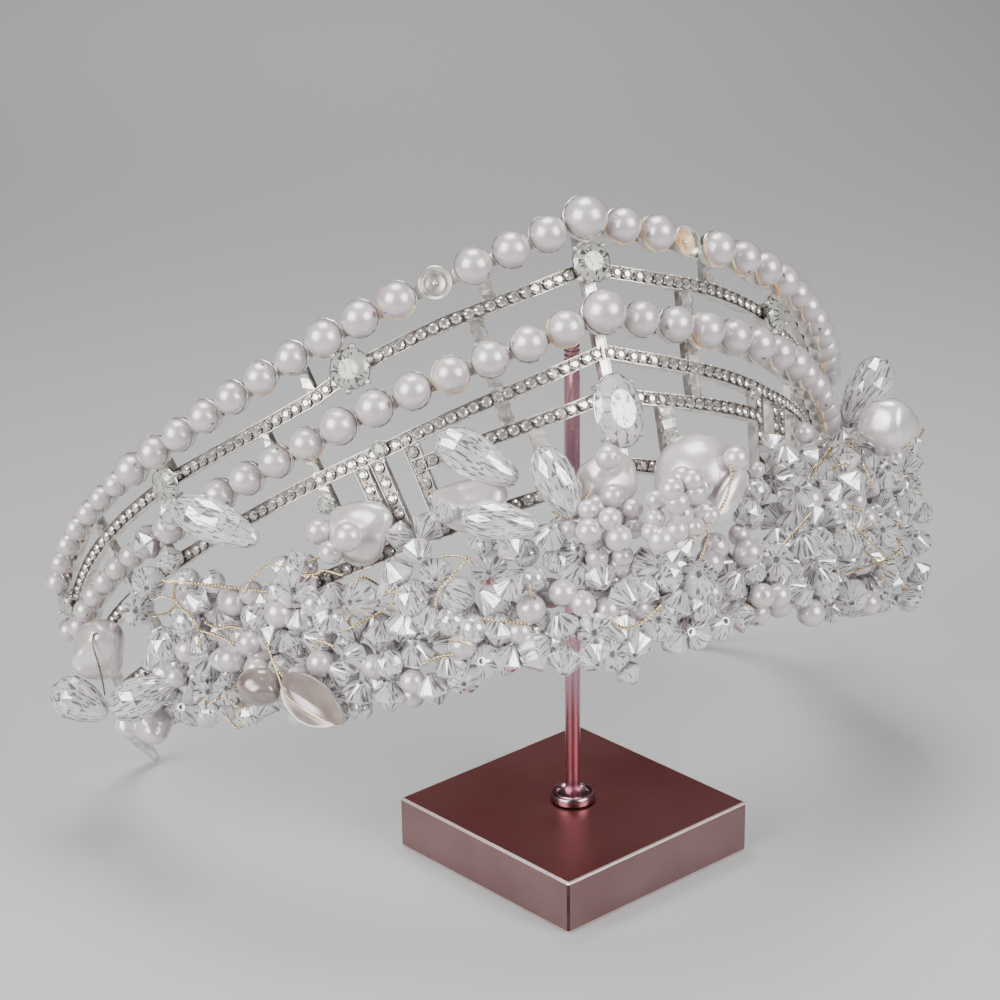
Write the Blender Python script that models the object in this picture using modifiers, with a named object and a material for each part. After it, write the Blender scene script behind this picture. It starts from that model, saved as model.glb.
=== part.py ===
"""Bridal crown of pearls and cut crystals, leaning on its small metal display stand.

Lengths are in millimetres and become metres in place_mesh. The crown is modelled in its own
frame: 'along' runs round the crown from its front centre, negative to the wearer's right,
'height' rises from the table, and 'out' leaves the sheet that the large pearls' centres lie on.
"""

import math

import bmesh
import bpy
from mathutils import Matrix, Vector

MM = 0.001
GAP = 0.3

# Stand
BASE_SIDE = 55.0
BASE_THICK = 12.2
BASE_CHAMFER = 0.9
BASE_TURN = math.radians(17.7)
ROD_RADIUS = 1.7
ROD_TOP = 122.5
COLLAR_RADIUS = 5.0
COLLAR_HEIGHT = 2.2
COLLAR_LIP = 1.1
COLLAR_DISH = 0.9

# How the crown sits on the table and the rod
CROWN_SEAT = Vector((1.5, -74.0, -1.1))
CROWN_ROLL = math.radians(1.33)

# Plan of the crown: sharp turn at the front, slow turn at the sides, tails that close in
HALF_LENGTH = 143.0
TAIL_LENGTH = 51.0
TAIL_CLEAR = 0.15
FRONT_TURN = 0.775
FRONT_REACH = 16.6
SIDE_TURN = 0.00354
TAIL_TURN = 0.0103
FLARE = 0.39
LEAN = 0.92

# Height of each pearl row as a cubic in its share of the half length
TOP_ROW = (147.0, -142.2, 111.5, -67.6)
LOW_ROW = (128.9, -118.7, 77.3, -46.4)

# Pierced sheet: a rail runs at a step of the space between the two pearl rows, where step 0 is
# the lower row and step 1 the upper one
SHEET_OUT = -5.1
SHEET_THICK = 1.6
SHEET_FACE = SHEET_OUT + SHEET_THICK / 2
RAIL_WIDTH = 2.5
RAIL_NARROWING = 0.5
BAND, RAIL_3, RAIL_2, LOW_STRIP, RAIL_1, TOP_STRIP = range(6)
RAIL_AT = (0.0, 12.0, 24.0, 33.0, 45.0, 72.0, HALF_LENGTH)
RAIL_STEPS = {
    # step at each place of RAIL_AT
    BAND: (-1.55, -1.57, -1.58, -1.6, -1.6, -1.6, -1.6),
    RAIL_3: (-0.82, -0.79, -0.79, -0.79, -0.79, -0.79, -0.79),
    RAIL_2: (-0.37, -0.41, -0.47, -0.46, -0.44, -0.44, -0.52),
    LOW_STRIP: (0.0, 0.0, 0.0, 0.0, 0.0, 0.0, 0.0),
    RAIL_1: (0.51, 0.57, 0.54, 0.46, 0.48, 0.58, 0.54),
    TOP_STRIP: (1.0, 1.0, 1.0, 1.0, 1.0, 1.0, 1.0),
}

# Places between the struts where the sheet turns, then its tails
PLAIN_COLUMNS = (15.0, 54.0, 63.0, 82.0, 100.0, 120.0, 131.0)
TAIL_COLUMNS = 5
RAIL_3_REACH = 22.4
# Struts: where each starts on the left and on the right, its width and the rails that it joins
STRUTS = (
    # left, right, width, lower rail, upper rail
    (0.0, 0.0, 0.4, BAND, TOP_STRIP),
    (5.9, 4.0, 1.5, BAND, RAIL_3),
    (8.4, 7.8, 1.4, RAIL_3, RAIL_1),
    (6.9, 11.3, 1.0, RAIL_1, TOP_STRIP),
    (20.0, 20.0, 2.4, BAND, RAIL_2),
    (26.0, 26.0, 2.6, BAND, RAIL_2),
    (29.2, 29.2, 2.6, BAND, RAIL_2),
    (32.2, 32.2, 1.8, RAIL_1, TOP_STRIP),
    (38.2, 38.2, 1.8, BAND, LOW_STRIP),
    (45.6, 45.6, 1.8, LOW_STRIP, RAIL_1),
    (74.8, 74.8, 2.0, RAIL_1, TOP_STRIP),
    (89.0, 89.0, 2.0, RAIL_2, LOW_STRIP),
    (109.0, 109.0, 2.0, BAND, TOP_STRIP),
    (141.0, 141.0, 2.0, BAND, TOP_STRIP),
)

# Pearls of a half row, in runs of one size
PEAK_DIAMETER = 9.4
PEAK_SPACE = 9.1
PEARL_RUNS = (
    # how many, diameter, spacing
    (7, 7.9, 8.75),
    (7, 7.2, 8.4),
    (7, 5.4, 6.55),
)
PEARL_SIDES = 10
LARGE_PEARL_RINGS = (24, 57, 90, 123, 156)
SMALL_PEARL_RINGS = (28, 70, 110, 152)
STRING_RADIUS = 0.5
MISSING_PEARLS = {"left": 4, "right": 3}
CUP_RADIUS = 3.6
CRYSTAL_STEP = 0.54

# Round crystals on the upper rail
ROUND_CRYSTALS = (
    # name, along, radius
    ("crystal_centre", 0.0, 4.3),
    ("crystal_left_front", -24.6, 4.4),
    ("crystal_right_front", 24.6, 4.4),
    ("crystal_left_side", -76.0, 3.7),
    ("crystal_right_side", 76.0, 3.7),
    ("crystal_left_end", -139.4, 2.6),
    ("crystal_right_end", 139.4, 2.6),
)
CRYSTAL_SEAT = 3.0
OVAL_HEIGHT = 110.6
OVAL_RADII = (5.6, 8.1)
OVAL_DEPTH = 5.0

# Garland bundle: its top, bottom and depth along the base band; tilt is how far its top leans out
GARLAND_SIDES = 12
GARLAND_MIDDLE = 0.4
GARLAND_FLAT = 0.7
GARLAND_UPRIGHT = 4.0
GARLAND_GAP = 0.55
GARLAND_FORM = (
    # along, top over the band, bottom under the band, depth, tilt
    (-126.0, -2.0, 9.0, 4.6, 0.0),
    (-112.0, 3.0, 12.0, 5.2, 0.0),
    (-98.0, 6.0, 15.0, 8.0, 0.0),
    (-80.0, 8.0, 18.0, 10.5, 1.0),
    (-60.0, 4.0, 23.0, 11.0, 0.0),
    (-42.0, -2.0, 26.0, 11.0, 0.0),
    (-28.0, -4.0, 28.5, 11.0, 0.0),
    (-14.0, -11.0, 30.5, 11.0, 0.0),
    (0.0, -15.0, 36.5, 11.0, 0.0),
    (14.0, -13.0, 26.5, 11.0, 0.0),
    (28.0, 0.0, 26.0, 13.0, 0.0),
    (45.0, 12.0, 22.5, 18.0, 5.0),
    (62.0, 17.0, 19.5, 22.0, 8.0),
    (80.0, 17.0, 16.5, 24.0, 8.0),
    (98.0, 12.0, 14.0, 23.0, 5.0),
    (112.0, 6.0, 12.5, 19.0, 2.0),
    (126.0, 0.0, 11.0, 9.0, 0.0),
)

# Large pieces wired on the garland: height is above the band, turn is in the sheet's plane and
# lift is out of it; a drop's narrow end points the way that turn and lift say
TEARDROPS = (
    # name, along, height, out, turn, lift, length, diameter
    ("teardrop_1", -13.4, 9.7, 3.0, -28, 0, 19.0, 9.6),
    ("teardrop_2", -7.1, 0.9, 7.6, -66, 0, 15.5, 9.0),
    ("teardrop_3", -13.3, -2.4, 8.2, -6, 4, 16.0, 8.8),
    ("teardrop_4", -60.7, 15.7, 6.7, -12, -6, 21.0, 9.6),
    ("teardrop_5", -136.6, 0.9, 9.0, -33, -31, 14.0, 10.2),
    ("teardrop_6", -106.7, -4.8, 9.8, 31, -45, 15.0, 9.6),
    ("teardrop_7", 70.0, 24.6, 9.0, -117, -34, 17.5, 10.4),
)
BAROQUE_PEARLS = (
    # name, along, height, out, three radii, turn
    ("baroque_1", -128.1, 7.0, 1.6, (6.4, 6.3, 6.4), 20),
    ("baroque_2", -34.2, 4.9, 0.4, (7.2, 6.3, 4.8), 7),
    ("baroque_3", -15.7, 2.4, -0.1, (8.0, 5.2, 4.1), 10),
    ("baroque_4", -56.0, -18.1, 10.6, (8.0, 4.8, 3.4), -20),
    ("baroque_5", -67.4, -12.4, 10.6, (5.0, 4.0, 4.0), 30),
    ("baroque_6", 39.8, 11.4, 17.9, (6.0, 6.8, 6.5), 30),
    ("baroque_7", -2.2, -2.1, 0.2, (6.6, 6.3, 4.6), 0),
    ("baroque_8", -131.8, -6.5, 2.6, (3.6, 3.4, 3.6), 0),
    ("baroque_9", -119.4, -9.3, 3.9, (4.6, 3.8, 4.2), 0),
    ("petal_pearl", 4.2, -7.9, 16.0, (6.8, 2.5, 1.5), -144),
)
LARGE_PEARL = (4.3, -3.1, 5.5, 18.8)
CLUSTERS = (
    # name, along, height, out
    ("pearl_cluster_1", -4.3, -8.9, 5.8),
    ("pearl_cluster_2", 1.0, -8.6, 16.6),
)
CLUSTER_PEARLS = 5
CLUSTER_PEARL = 5.0
CLUSTER_RING = 3.9

# Finishes: red, green, blue, metallic, roughness
ROSE_METAL = (0.62, 0.36, 0.34, 1.0, 0.32)
SILVER = (0.80, 0.78, 0.75, 1.0, 0.22)
PEARL = (0.86, 0.80, 0.78, 0.0, 0.25)
CRYSTAL = (0.85, 0.88, 0.92, 0.0, 0.05)


# Scene

def clear_scene():
    for thing in list(bpy.data.objects):
        bpy.data.objects.remove(thing, do_unlink=True)


def make_material(name, finish):
    """A Principled material from one row of the finishes."""
    material = bpy.data.materials.new(name)
    material.use_nodes = True
    shader = material.node_tree.nodes["Principled BSDF"]
    shader.inputs["Base Color"].default_value = (*finish[:3], 1.0)
    shader.inputs["Metallic"].default_value = finish[3]
    shader.inputs["Roughness"].default_value = finish[4]
    return material


def make_empty(name, matrix):
    empty = bpy.data.objects.new(name, None)
    empty.matrix_world = matrix
    PARTS.objects.link(empty)
    return empty


def make_guides():
    """The collection of shapes that only shape other pieces."""
    guides = bpy.data.collections.new("guides")
    bpy.context.scene.collection.children.link(guides)
    return guides


def add_object(name, body, parent, matrix, material):
    """An object from a bmesh in millimetres, placed by its matrix in the parent's frame."""
    body.transform(Matrix.Scale(MM, 4))
    mesh = bpy.data.meshes.new(name)
    body.to_mesh(mesh)
    body.free()
    mesh.materials.append(material)
    thing = bpy.data.objects.new(name, mesh)
    PARTS.objects.link(thing)
    thing.parent = parent
    thing.matrix_local = in_metres(matrix)
    return thing


def in_metres(matrix):
    """The same placing with its shift in metres."""
    placed = matrix.copy()
    placed.translation = matrix.translation * MM
    return placed


def shade_round(thing, degrees):
    thing.data.shade_smooth()
    thing.data.set_sharp_from_angle(angle=math.radians(degrees))


def loft(rings, material, name, parent):
    """A closed body through rings of points, capped at both ends and placed at its first ring."""
    origin = sum(rings[0], Vector()) / len(rings[0])
    body = bmesh.new()
    rows = [[body.verts.new(point - origin) for point in ring] for ring in rings]
    sides = len(rings[0])
    for lower, upper in zip(rows, rows[1:]):
        for side in range(sides):
            following = (side + 1) % sides
            body.faces.new((lower[side], lower[following], upper[following], upper[side]))
    body.faces.new(rows[0])
    body.faces.new(rows[-1])
    bmesh.ops.recalc_face_normals(body, faces=body.faces)
    return add_object(name, body, parent, Matrix.Translation(origin), material)


def turned(name, profile, sides, parent, matrix, material):
    """A turned piece: a profile of radius and depth, top to bottom, carried round by a Screw."""
    body = bmesh.new()
    points = [body.verts.new((radius, 0.0, depth)) for radius, depth in profile]
    for first, second in zip(points, points[1:]):
        body.edges.new((first, second))
    thing = add_object(name, body, parent, matrix, material)
    screw = thing.modifiers.new("turning", "SCREW")
    screw.steps = sides
    screw.render_steps = sides
    screw.use_merge_vertices = True
    screw.merge_threshold = 0.00001
    return thing


# Shape of the crown

def cubic(terms, share):
    return sum(term * share ** power for power, term in enumerate(terms))


def heading_at(along):
    """Which way the plan of the right half runs, as an angle from straight right."""
    tail = max(0.0, along - HALF_LENGTH)
    return FRONT_TURN * (1 - math.exp(-along / FRONT_REACH)) + SIDE_TURN * along + TAIL_TURN * tail


def plan_points():
    """The right half's plan at each millimetre along."""
    point = Vector((0.0, 0.0))
    points = [point.copy()]
    for step in range(int(HALF_LENGTH + TAIL_LENGTH) + 2):
        middle = heading_at(step + 0.5)
        point = point + Vector((math.cos(middle), math.sin(middle)))
        points.append(point)
    return points


def row_height(along, step):
    """Height of a step: 0 is the lower pearl row and 1 the upper one."""
    share = min(abs(along), HALF_LENGTH) / HALF_LENGTH
    low = cubic(LOW_ROW, share)
    return low + step * (cubic(TOP_ROW, share) - low)


def between(place_along, places, values):
    """The value at a place, in straight lines between the places of a table."""
    for start, end, first, second in zip(places, places[1:], values, values[1:]):
        if place_along <= end:
            share = max(0.0, (place_along - start) / (end - start))
            return first + (second - first) * share
    return values[-1]


def rail_height(along, rail):
    return row_height(along, between(abs(along), RAIL_AT, RAIL_STEPS[rail]))


def band_height(along):
    return rail_height(along, BAND)


def facing(along, height, out=0.0):
    """Frame on the crown: X along it, Y up its sheet and Z out of it."""
    reach = abs(along)
    side = -1.0 if along < 0 else 1.0
    heading = heading_at(reach)
    cosine = math.cos(heading)
    sine = math.sin(heading)
    step = int(reach)
    plan = PLAN[step].lerp(PLAN[step + 1], reach - step)
    centre = Vector((plan.x + sine * FLARE * height,
                     plan.y + (LEAN - cosine * FLARE) * height, height))
    tangent = Vector((cosine, side * sine, 0.0))
    normal = Vector((side * sine, -cosine, cosine * LEAN - FLARE)).normalized()
    centre.x *= side
    rising = normal.cross(tangent)
    matrix = Matrix((tangent, rising, normal)).transposed().to_4x4()
    matrix.translation = centre + normal * out
    return matrix


def place(along, height, out=0.0):
    return facing(along, height, out).translation


# Stand

def build_stand(stand, rose):
    turn = Matrix.Rotation(BASE_TURN, 4, "Z")
    base = bmesh.new()
    bmesh.ops.create_cube(base, size=1.0)
    bmesh.ops.scale(base, vec=(BASE_SIDE, BASE_SIDE, BASE_THICK), verts=base.verts)
    middle = Matrix.Translation((0, 0, BASE_THICK / 2))
    thing = add_object("stand_base", base, stand, middle @ turn, rose)
    bevel = thing.modifiers.new("chamfer", "BEVEL")
    bevel.width = BASE_CHAMFER * MM
    bevel.segments = 1

    foot = BASE_THICK + GAP
    bore = ROD_RADIUS + GAP
    lip = COLLAR_RADIUS - COLLAR_LIP
    collar_profile = (
        (bore, COLLAR_HEIGHT - COLLAR_DISH),
        (lip, COLLAR_HEIGHT - COLLAR_DISH),
        (lip + COLLAR_LIP * 0.2, COLLAR_HEIGHT),
        (COLLAR_RADIUS - COLLAR_LIP * 0.3, COLLAR_HEIGHT),
        (COLLAR_RADIUS, COLLAR_HEIGHT * 0.8),
        (COLLAR_RADIUS, 0.0),
        (bore, 0.0),
        (bore, COLLAR_HEIGHT - COLLAR_DISH),
    )
    collar = turned("stand_collar", collar_profile, 16, stand, Matrix.Translation((0, 0, foot)), rose)
    shade_round(collar, 35)

    bead = ROD_RADIUS * 0.25
    length = ROD_TOP - foot
    rod_profile = (
        (0.0, length),
        (ROD_RADIUS - bead, length),
        (ROD_RADIUS, length - bead),
        (ROD_RADIUS, 0.0),
        (0.0, 0.0),
    )
    rod = turned("stand_rod", rod_profile, 16, stand, Matrix.Translation((0, 0, foot)), rose)
    shade_round(rod, 35)


# Pierced sheet

def rail_edges(along):
    """Heights of every rail's lower and upper edge at one place, from the band up."""
    share = min(abs(along), HALF_LENGTH) / HALF_LENGTH
    half = (RAIL_WIDTH - RAIL_NARROWING * share) / 2
    edges = []
    for rail in RAIL_STEPS:
        centre = rail_height(along, rail)
        if rail == BAND and abs(along) > HALF_LENGTH:
            centre = tail_height(along, centre, half)
        edges += [centre - half, centre + half]
    return edges


def tail_height(along, start, half):
    """A tail's middle runs down in a straight line until its end clears the table."""
    share = (abs(along) - HALF_LENGTH) / TAIL_LENGTH
    foot = facing(along, 0.0, SHEET_OUT)
    down = SHEET_THICK / 2 * abs(foot.col[2].z)
    rest = half + down + TAIL_CLEAR - (CROWN @ foot.translation).z
    return start + (rest - start) * share


def side_columns(side):
    """Where the sheet's columns start and end on one side, from its front centre."""
    places = set(PLAIN_COLUMNS)
    for strut in STRUTS:
        start = strut[side]
        places |= {start, round(start + strut[2], 1)}
    tails = [HALF_LENGTH + TAIL_LENGTH * (step + 1) / TAIL_COLUMNS for step in range(TAIL_COLUMNS)]
    return sorted(places - {0.0}) + tails


def strut_stands(side, low, high, gap):
    """Whether a strut crosses this window or rail: rails are the even gaps, windows the odd."""
    for strut in STRUTS:
        start = strut[side]
        width, lower, upper = strut[2:]
        across = start <= low and high <= start + width + 0.01
        if across and lower <= gap // 2 and (gap + 1) // 2 <= upper:
            return True
    return False


def is_metal(first, second, gap):
    """Whether the sheet has metal between two columns and two edges."""
    side = 0 if first < 0 else 1
    low, high = sorted((abs(first), abs(second)))
    if first < 0 < second:
        low = 0.0
    if high > HALF_LENGTH:
        return gap == 2 * BAND
    if strut_stands(side, low, high, gap):
        return True
    if gap == 2 * RAIL_3:
        return high <= RAIL_3_REACH
    return gap % 2 == 0


def build_sheet(crown, silver):
    """The soldered frame as one pierced sheet: a grid whose windows are left open."""
    stations = [-along for along in reversed(side_columns(0))] + side_columns(1)
    body = bmesh.new()
    lines = [[body.verts.new(place(along, height, SHEET_OUT)) for height in rail_edges(along)]
             for along in stations]
    for column, (first, second) in enumerate(zip(stations, stations[1:])):
        for gap in range(2 * len(RAIL_STEPS) - 1):
            if is_metal(first, second, gap):
                left = lines[column]
                following = lines[column + 1]
                body.faces.new((left[gap], following[gap], following[gap + 1], left[gap + 1]))
    loose = [vert for vert in body.verts if not vert.link_faces]
    bmesh.ops.delete(body, geom=loose, context="VERTS")
    sheet = add_object("crown_frame", body, crown, Matrix.Identity(4), silver)
    solid = sheet.modifiers.new("thickness", "SOLIDIFY")
    solid.thickness = SHEET_THICK * MM
    solid.offset = 0.0
    solid.use_even_offset = False


# Pearls

def row_path(side, step, out_of):
    """Walks a half row and gives a function from its length to its place along the crown."""
    sign = -1.0 if side == "left" else 1.0
    lengths = [0.0]
    previous = place(0.0, row_height(0.0, step), out_of)
    for along in range(1, int(HALF_LENGTH) + 12):
        point = place(sign * along, row_height(along, step), out_of)
        lengths.append(lengths[-1] + (point - previous).length)
        previous = point

    def along_at(length):
        for along, (start, end) in enumerate(zip(lengths, lengths[1:])):
            if length <= end:
                return sign * (along + (length - start) / (end - start))
        return sign * (len(lengths) - 1)
    return along_at


def half_row():
    """Each pearl of a half row: its distance from the peak pearl and its diameter."""
    pearls = []
    distance = PEAK_SPACE
    spacing = None
    for count, diameter, space in PEARL_RUNS:
        for _ in range(count):
            if spacing is not None:
                distance += (spacing + space) / 2
            pearls.append((distance, diameter))
            spacing = space
    return pearls


def ring_about(centre, direction, up, radius, sides):
    """A round ring of points square to a direction."""
    across = direction.cross(up).normalized()
    rising = across.cross(direction).normalized()
    turns = [2 * math.pi * step / sides for step in range(sides)]
    return [centre + radius * (math.cos(turn) * across + math.sin(turn) * rising) for turn in turns]


def build_half_row(name, side, step, missing, crown, material):
    """One half row of pearls as a single string, with an empty place where one is lost."""
    along_at = row_path(side, step, 0.0)
    rings = []

    def centre_at(length, radius):
        along = along_at(length)
        return place(along, row_height(along, step), SHEET_FACE + GAP + radius)

    for number, (distance, diameter) in enumerate(half_row(), start=1):
        radius = diameter / 2
        centre = centre_at(distance, radius)
        ahead = centre_at(distance + 1.0, radius)
        direction = (ahead - centre).normalized()
        up = facing(along_at(distance), 0.0).col[2].to_3d()
        if number == missing:
            for shift in (-0.8 * radius, 0.8 * radius):
                middle = centre_at(distance + shift, STRING_RADIUS)
                rings.append(ring_about(middle, direction, up, STRING_RADIUS, PEARL_SIDES))
            continue
        angles = LARGE_PEARL_RINGS if diameter == PEARL_RUNS[0][1] else SMALL_PEARL_RINGS
        for degrees in angles:
            angle = math.radians(degrees)
            middle = centre - direction * radius * math.cos(angle)
            rings.append(ring_about(middle, direction, up, radius * math.sin(angle), PEARL_SIDES))
    string = loft(rings, material, name, crown)
    shade_round(string, 60)


def build_round_pearl(name, diameter, parent, matrix, material, columns=14, rows=8):
    body = bmesh.new()
    bmesh.ops.create_uvsphere(body, u_segments=columns, v_segments=rows, radius=diameter / 2)
    pearl = add_object(name, body, parent, matrix, material)
    pearl.data.shade_smooth()


def build_pearls(crown, pearl, silver):
    for row, step in (("upper", 1.0), ("lower", 0.0)):
        for side in ("left", "right"):
            missing = MISSING_PEARLS[side] if row == "upper" else None
            build_half_row(f"{row}_pearls_{side}", side, step, missing, crown, pearl)
        peak = facing(0.0, row_height(0.0, step), SHEET_FACE + GAP + PEAK_DIAMETER / 2)
        build_round_pearl(f"{row}_peak_pearl", PEAK_DIAMETER, crown, peak, pearl)
    for side, number in MISSING_PEARLS.items():
        distance, diameter = half_row()[number - 1]
        along = row_path(side, 1.0, 0.0)(distance)
        seat = facing(along, row_height(along, 1.0), SHEET_FACE + GAP)
        build_cup(f"empty_cup_{side}", crown, seat, silver)


def build_cup(name, crown, seat, silver):
    """An empty pearl cup with its bare peg, open to the front over the string."""
    floor = GAP + 2 * STRING_RADIUS
    profile = (
        (0.0, floor + 1.7),
        (0.5, floor + 1.5),
        (0.55, floor + 0.5),
        (CUP_RADIUS * 0.5, floor + 0.8),
        (CUP_RADIUS * 0.9, floor + 2.2),
        (CUP_RADIUS, floor + 2.1),
        (CUP_RADIUS * 0.6, floor + 0.2),
        (0.0, floor),
    )
    cup = turned(name, profile, 10, crown, seat, silver)
    shade_round(cup, 40)


# Cut stones

def build_round_crystal(name, along, radius, crown, material):
    """A brilliant with its table, standing in a tapered collet on the upper rail."""
    seat = facing(along, row_height(along, CRYSTAL_STEP), SHEET_FACE + GAP)
    girdle = CRYSTAL_SEAT
    profile = (
        (0.0, girdle + radius * 0.36),
        (radius * 0.52, girdle + radius * 0.36),
        (radius * 0.92, girdle + radius * 0.06),
        (radius, girdle),
        (radius * 0.62, 0.0),
        (0.0, 0.0),
    )
    stone = turned(name, profile, 10, crown, seat, material)
    shade_round(stone, 10)


def oval_ring(width, length, depth, sides):
    turns = [2 * math.pi * (step + 0.5) / sides for step in range(sides)]
    return [Vector((width * math.cos(turn), length * math.sin(turn), depth)) for turn in turns]


def build_oval(crown, material):
    """The large oval stone with its bezel, one loft of oval sections."""
    seat = facing(0.0, OVAL_HEIGHT, SHEET_FACE + GAP)
    width, length = OVAL_RADII
    sections = (
        # share of the full outline, depth
        (0.80, 0.0),
        (1.00, OVAL_DEPTH * 0.35),
        (1.00, OVAL_DEPTH * 0.62),
        (0.90, OVAL_DEPTH * 0.70),
        (0.52, OVAL_DEPTH),
    )
    rings = [[seat @ point for point in oval_ring(width * share, length * share, depth, 12)]
             for share, depth in sections]
    stone = loft(rings, material, "oval_crystal", crown)
    shade_round(stone, 10)


def build_teardrop(row, crown, material):
    """A faceted drop, its narrow end at the top of its profile."""
    name, along, height, out, turn, lift, length, diameter = row
    seat = facing(along, band_height(along) + height, out)
    lean = Matrix.Rotation(math.radians(90 - lift), 4, "Y")
    lie = Matrix.Rotation(math.radians(turn), 4, "Z") @ lean
    radius = diameter / 2
    profile = (
        (0.0, length * 0.50),
        (radius * 0.36, length * 0.42),
        (radius * 0.80, length * 0.14),
        (radius, -length * 0.12),
        (radius * 0.86, -length * 0.32),
        (radius * 0.42, -length * 0.46),
        (0.0, -length * 0.50),
    )
    drop = turned(name, profile, 10, crown, seat @ lie, material)
    shade_round(drop, 10)


# Freshwater pearls and clusters

def build_baroque(row, crown, material):
    """A lumpy pearl: an icosphere stretched, then pushed by a slow wave."""
    name, along, height, out, radii, turn = row
    seat = facing(along, band_height(along) + height, out)
    body = bmesh.new()
    bmesh.ops.create_icosphere(body, subdivisions=2, radius=1.0)
    for vert in body.verts:
        x, y, z = vert.co
        lump = 1.0 + 0.09 * math.sin(2.6 * x + 1.9 * y + along) - 0.08 * math.cos(3.1 * y - 2.0 * z)
        vert.co = Vector((x * radii[0], y * radii[1], z * radii[2])) * lump
    lie = Matrix.Rotation(math.radians(turn), 4, "Z")
    pearl = add_object(name, body, crown, seat @ lie, material)
    pearl.data.shade_smooth()


def build_cluster(row, crown, material):
    """A knot of small pearls round a middle one, wired together and modelled as one body."""
    name, along, height, out = row
    seat = facing(along, band_height(along) + height, out)
    spots = [Vector((0.0, 0.0, CLUSTER_PEARL * 0.3))]
    for number in range(CLUSTER_PEARLS):
        turn = 2 * math.pi * (number + 0.3) / CLUSTER_PEARLS
        spots.append(Vector((CLUSTER_RING * math.cos(turn), CLUSTER_RING * math.sin(turn), 0.0)))
    for number, spot in enumerate(spots):
        body = bmesh.new()
        bmesh.ops.create_icosphere(body, subdivisions=2, radius=CLUSTER_PEARL / 2)
        shift = seat @ Matrix.Translation(spot) @ Matrix.Rotation(0.37 * number, 4, "X")
        if number == 0:
            knot = add_object(name, body, crown, shift, material)
            knot.data.shade_smooth()
            continue
        guide = add_object(f"{name}_guide_{number}", body, crown, shift, material)
        PARTS.objects.unlink(guide)
        GUIDES.objects.link(guide)
        guide.hide_render = True
        guide.display_type = "WIRE"
        join = knot.modifiers.new(f"pearl_{number}", "BOOLEAN")
        join.operation = "UNION"
        join.solver = "EXACT"
        join.object = guide


# Garland bundle

def garland_section(row, at, swell):
    """An oval section of the bundle, set against the band's face and leaning out above it."""
    _, top, bottom, depth, tilt = row
    section = facing(at, band_height(at))
    widest = math.cos(math.pi / GARLAND_SIDES) ** GARLAND_FLAT
    middle = SHEET_FACE + GARLAND_GAP + depth / 2 * swell * widest
    half = (top + bottom) / 2
    points = []
    for step in range(GARLAND_SIDES):
        turn = 2 * math.pi * (step + 0.5) / GARLAND_SIDES
        deep = math.copysign(abs(math.cos(turn)) ** GARLAND_FLAT, math.cos(turn)) * depth / 2
        over = (top - bottom) / 2 + half * math.sin(turn) * swell
        lean = tilt * max(0.0, over - GARLAND_UPRIGHT) / max(1.0, top - GARLAND_UPRIGHT)
        points.append(section @ Vector((0.0, over, middle + deep * swell + lean)))
    return points


def build_garland(crown, material):
    """The bundle of crystal strings in two halves that meet at the front."""
    left = [row for row in GARLAND_FORM if row[0] <= 0]
    right = [row for row in GARLAND_FORM if row[0] >= 0]
    for side, sign, rows in (("left", -1.0, left), ("right", 1.0, right)):
        rings = []
        for number, row in enumerate(rows):
            at = row[0] if row[0] else sign * GARLAND_MIDDLE
            swell = 0.95 + 0.05 * math.cos(number * 2.4)
            if abs(at) == abs(GARLAND_FORM[0][0]):
                swell = 0.7
            rings.append(garland_section(row, at, swell))
        bundle = loft(rings, material, f"garland_{side}", crown)
        shade_round(bundle, 50)


def main():
    rose = make_material("rose_metal", ROSE_METAL)
    silver = make_material("silver", SILVER)
    pearl = make_material("pearl", PEARL)
    crystal = make_material("crystal", CRYSTAL)
    stand = make_empty("stand", Matrix.Identity(4))
    crown = make_empty("crown", in_metres(CROWN))
    build_stand(stand, rose)
    build_sheet(crown, silver)
    build_pearls(crown, pearl, silver)
    for name, along, radius in ROUND_CRYSTALS:
        build_round_crystal(name, along, radius, crown, crystal)
    build_oval(crown, crystal)
    for row in TEARDROPS:
        build_teardrop(row, crown, crystal)
    for row in BAROQUE_PEARLS:
        build_baroque(row, crown, pearl)
    along, height, out, diameter = LARGE_PEARL
    seat = facing(along, band_height(along) + height, out)
    build_round_pearl("large_pearl", diameter, crown, seat, pearl, columns=16, rows=10)
    for row in CLUSTERS:
        build_cluster(row, crown, pearl)
    build_garland(crown, crystal)


clear_scene()
PARTS = bpy.data.collections.new("bridal_crown")
bpy.context.scene.collection.children.link(PARTS)
GUIDES = make_guides()
PLAN = plan_points()
CROWN = Matrix.Translation(CROWN_SEAT) @ Matrix.Rotation(CROWN_ROLL, 4, "Y")
main()
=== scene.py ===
"""Bridal crown of pearls and cut crystals, propped on its small rose metal stand.

Shapes are worked out in millimetres in the crown's own coordinates: 'along' runs round the crown
from its front centre, negative to the wearer's right, 'height' rises from the table, and 'out'
leaves the sheet that the pearls stand on. Beads and stones are modelled once on the bench, at the
origin, and copies are then set out on the crown and joined into one piece for each string.
"""

import math
import random

import bpy
from mathutils import Matrix, Vector


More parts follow.
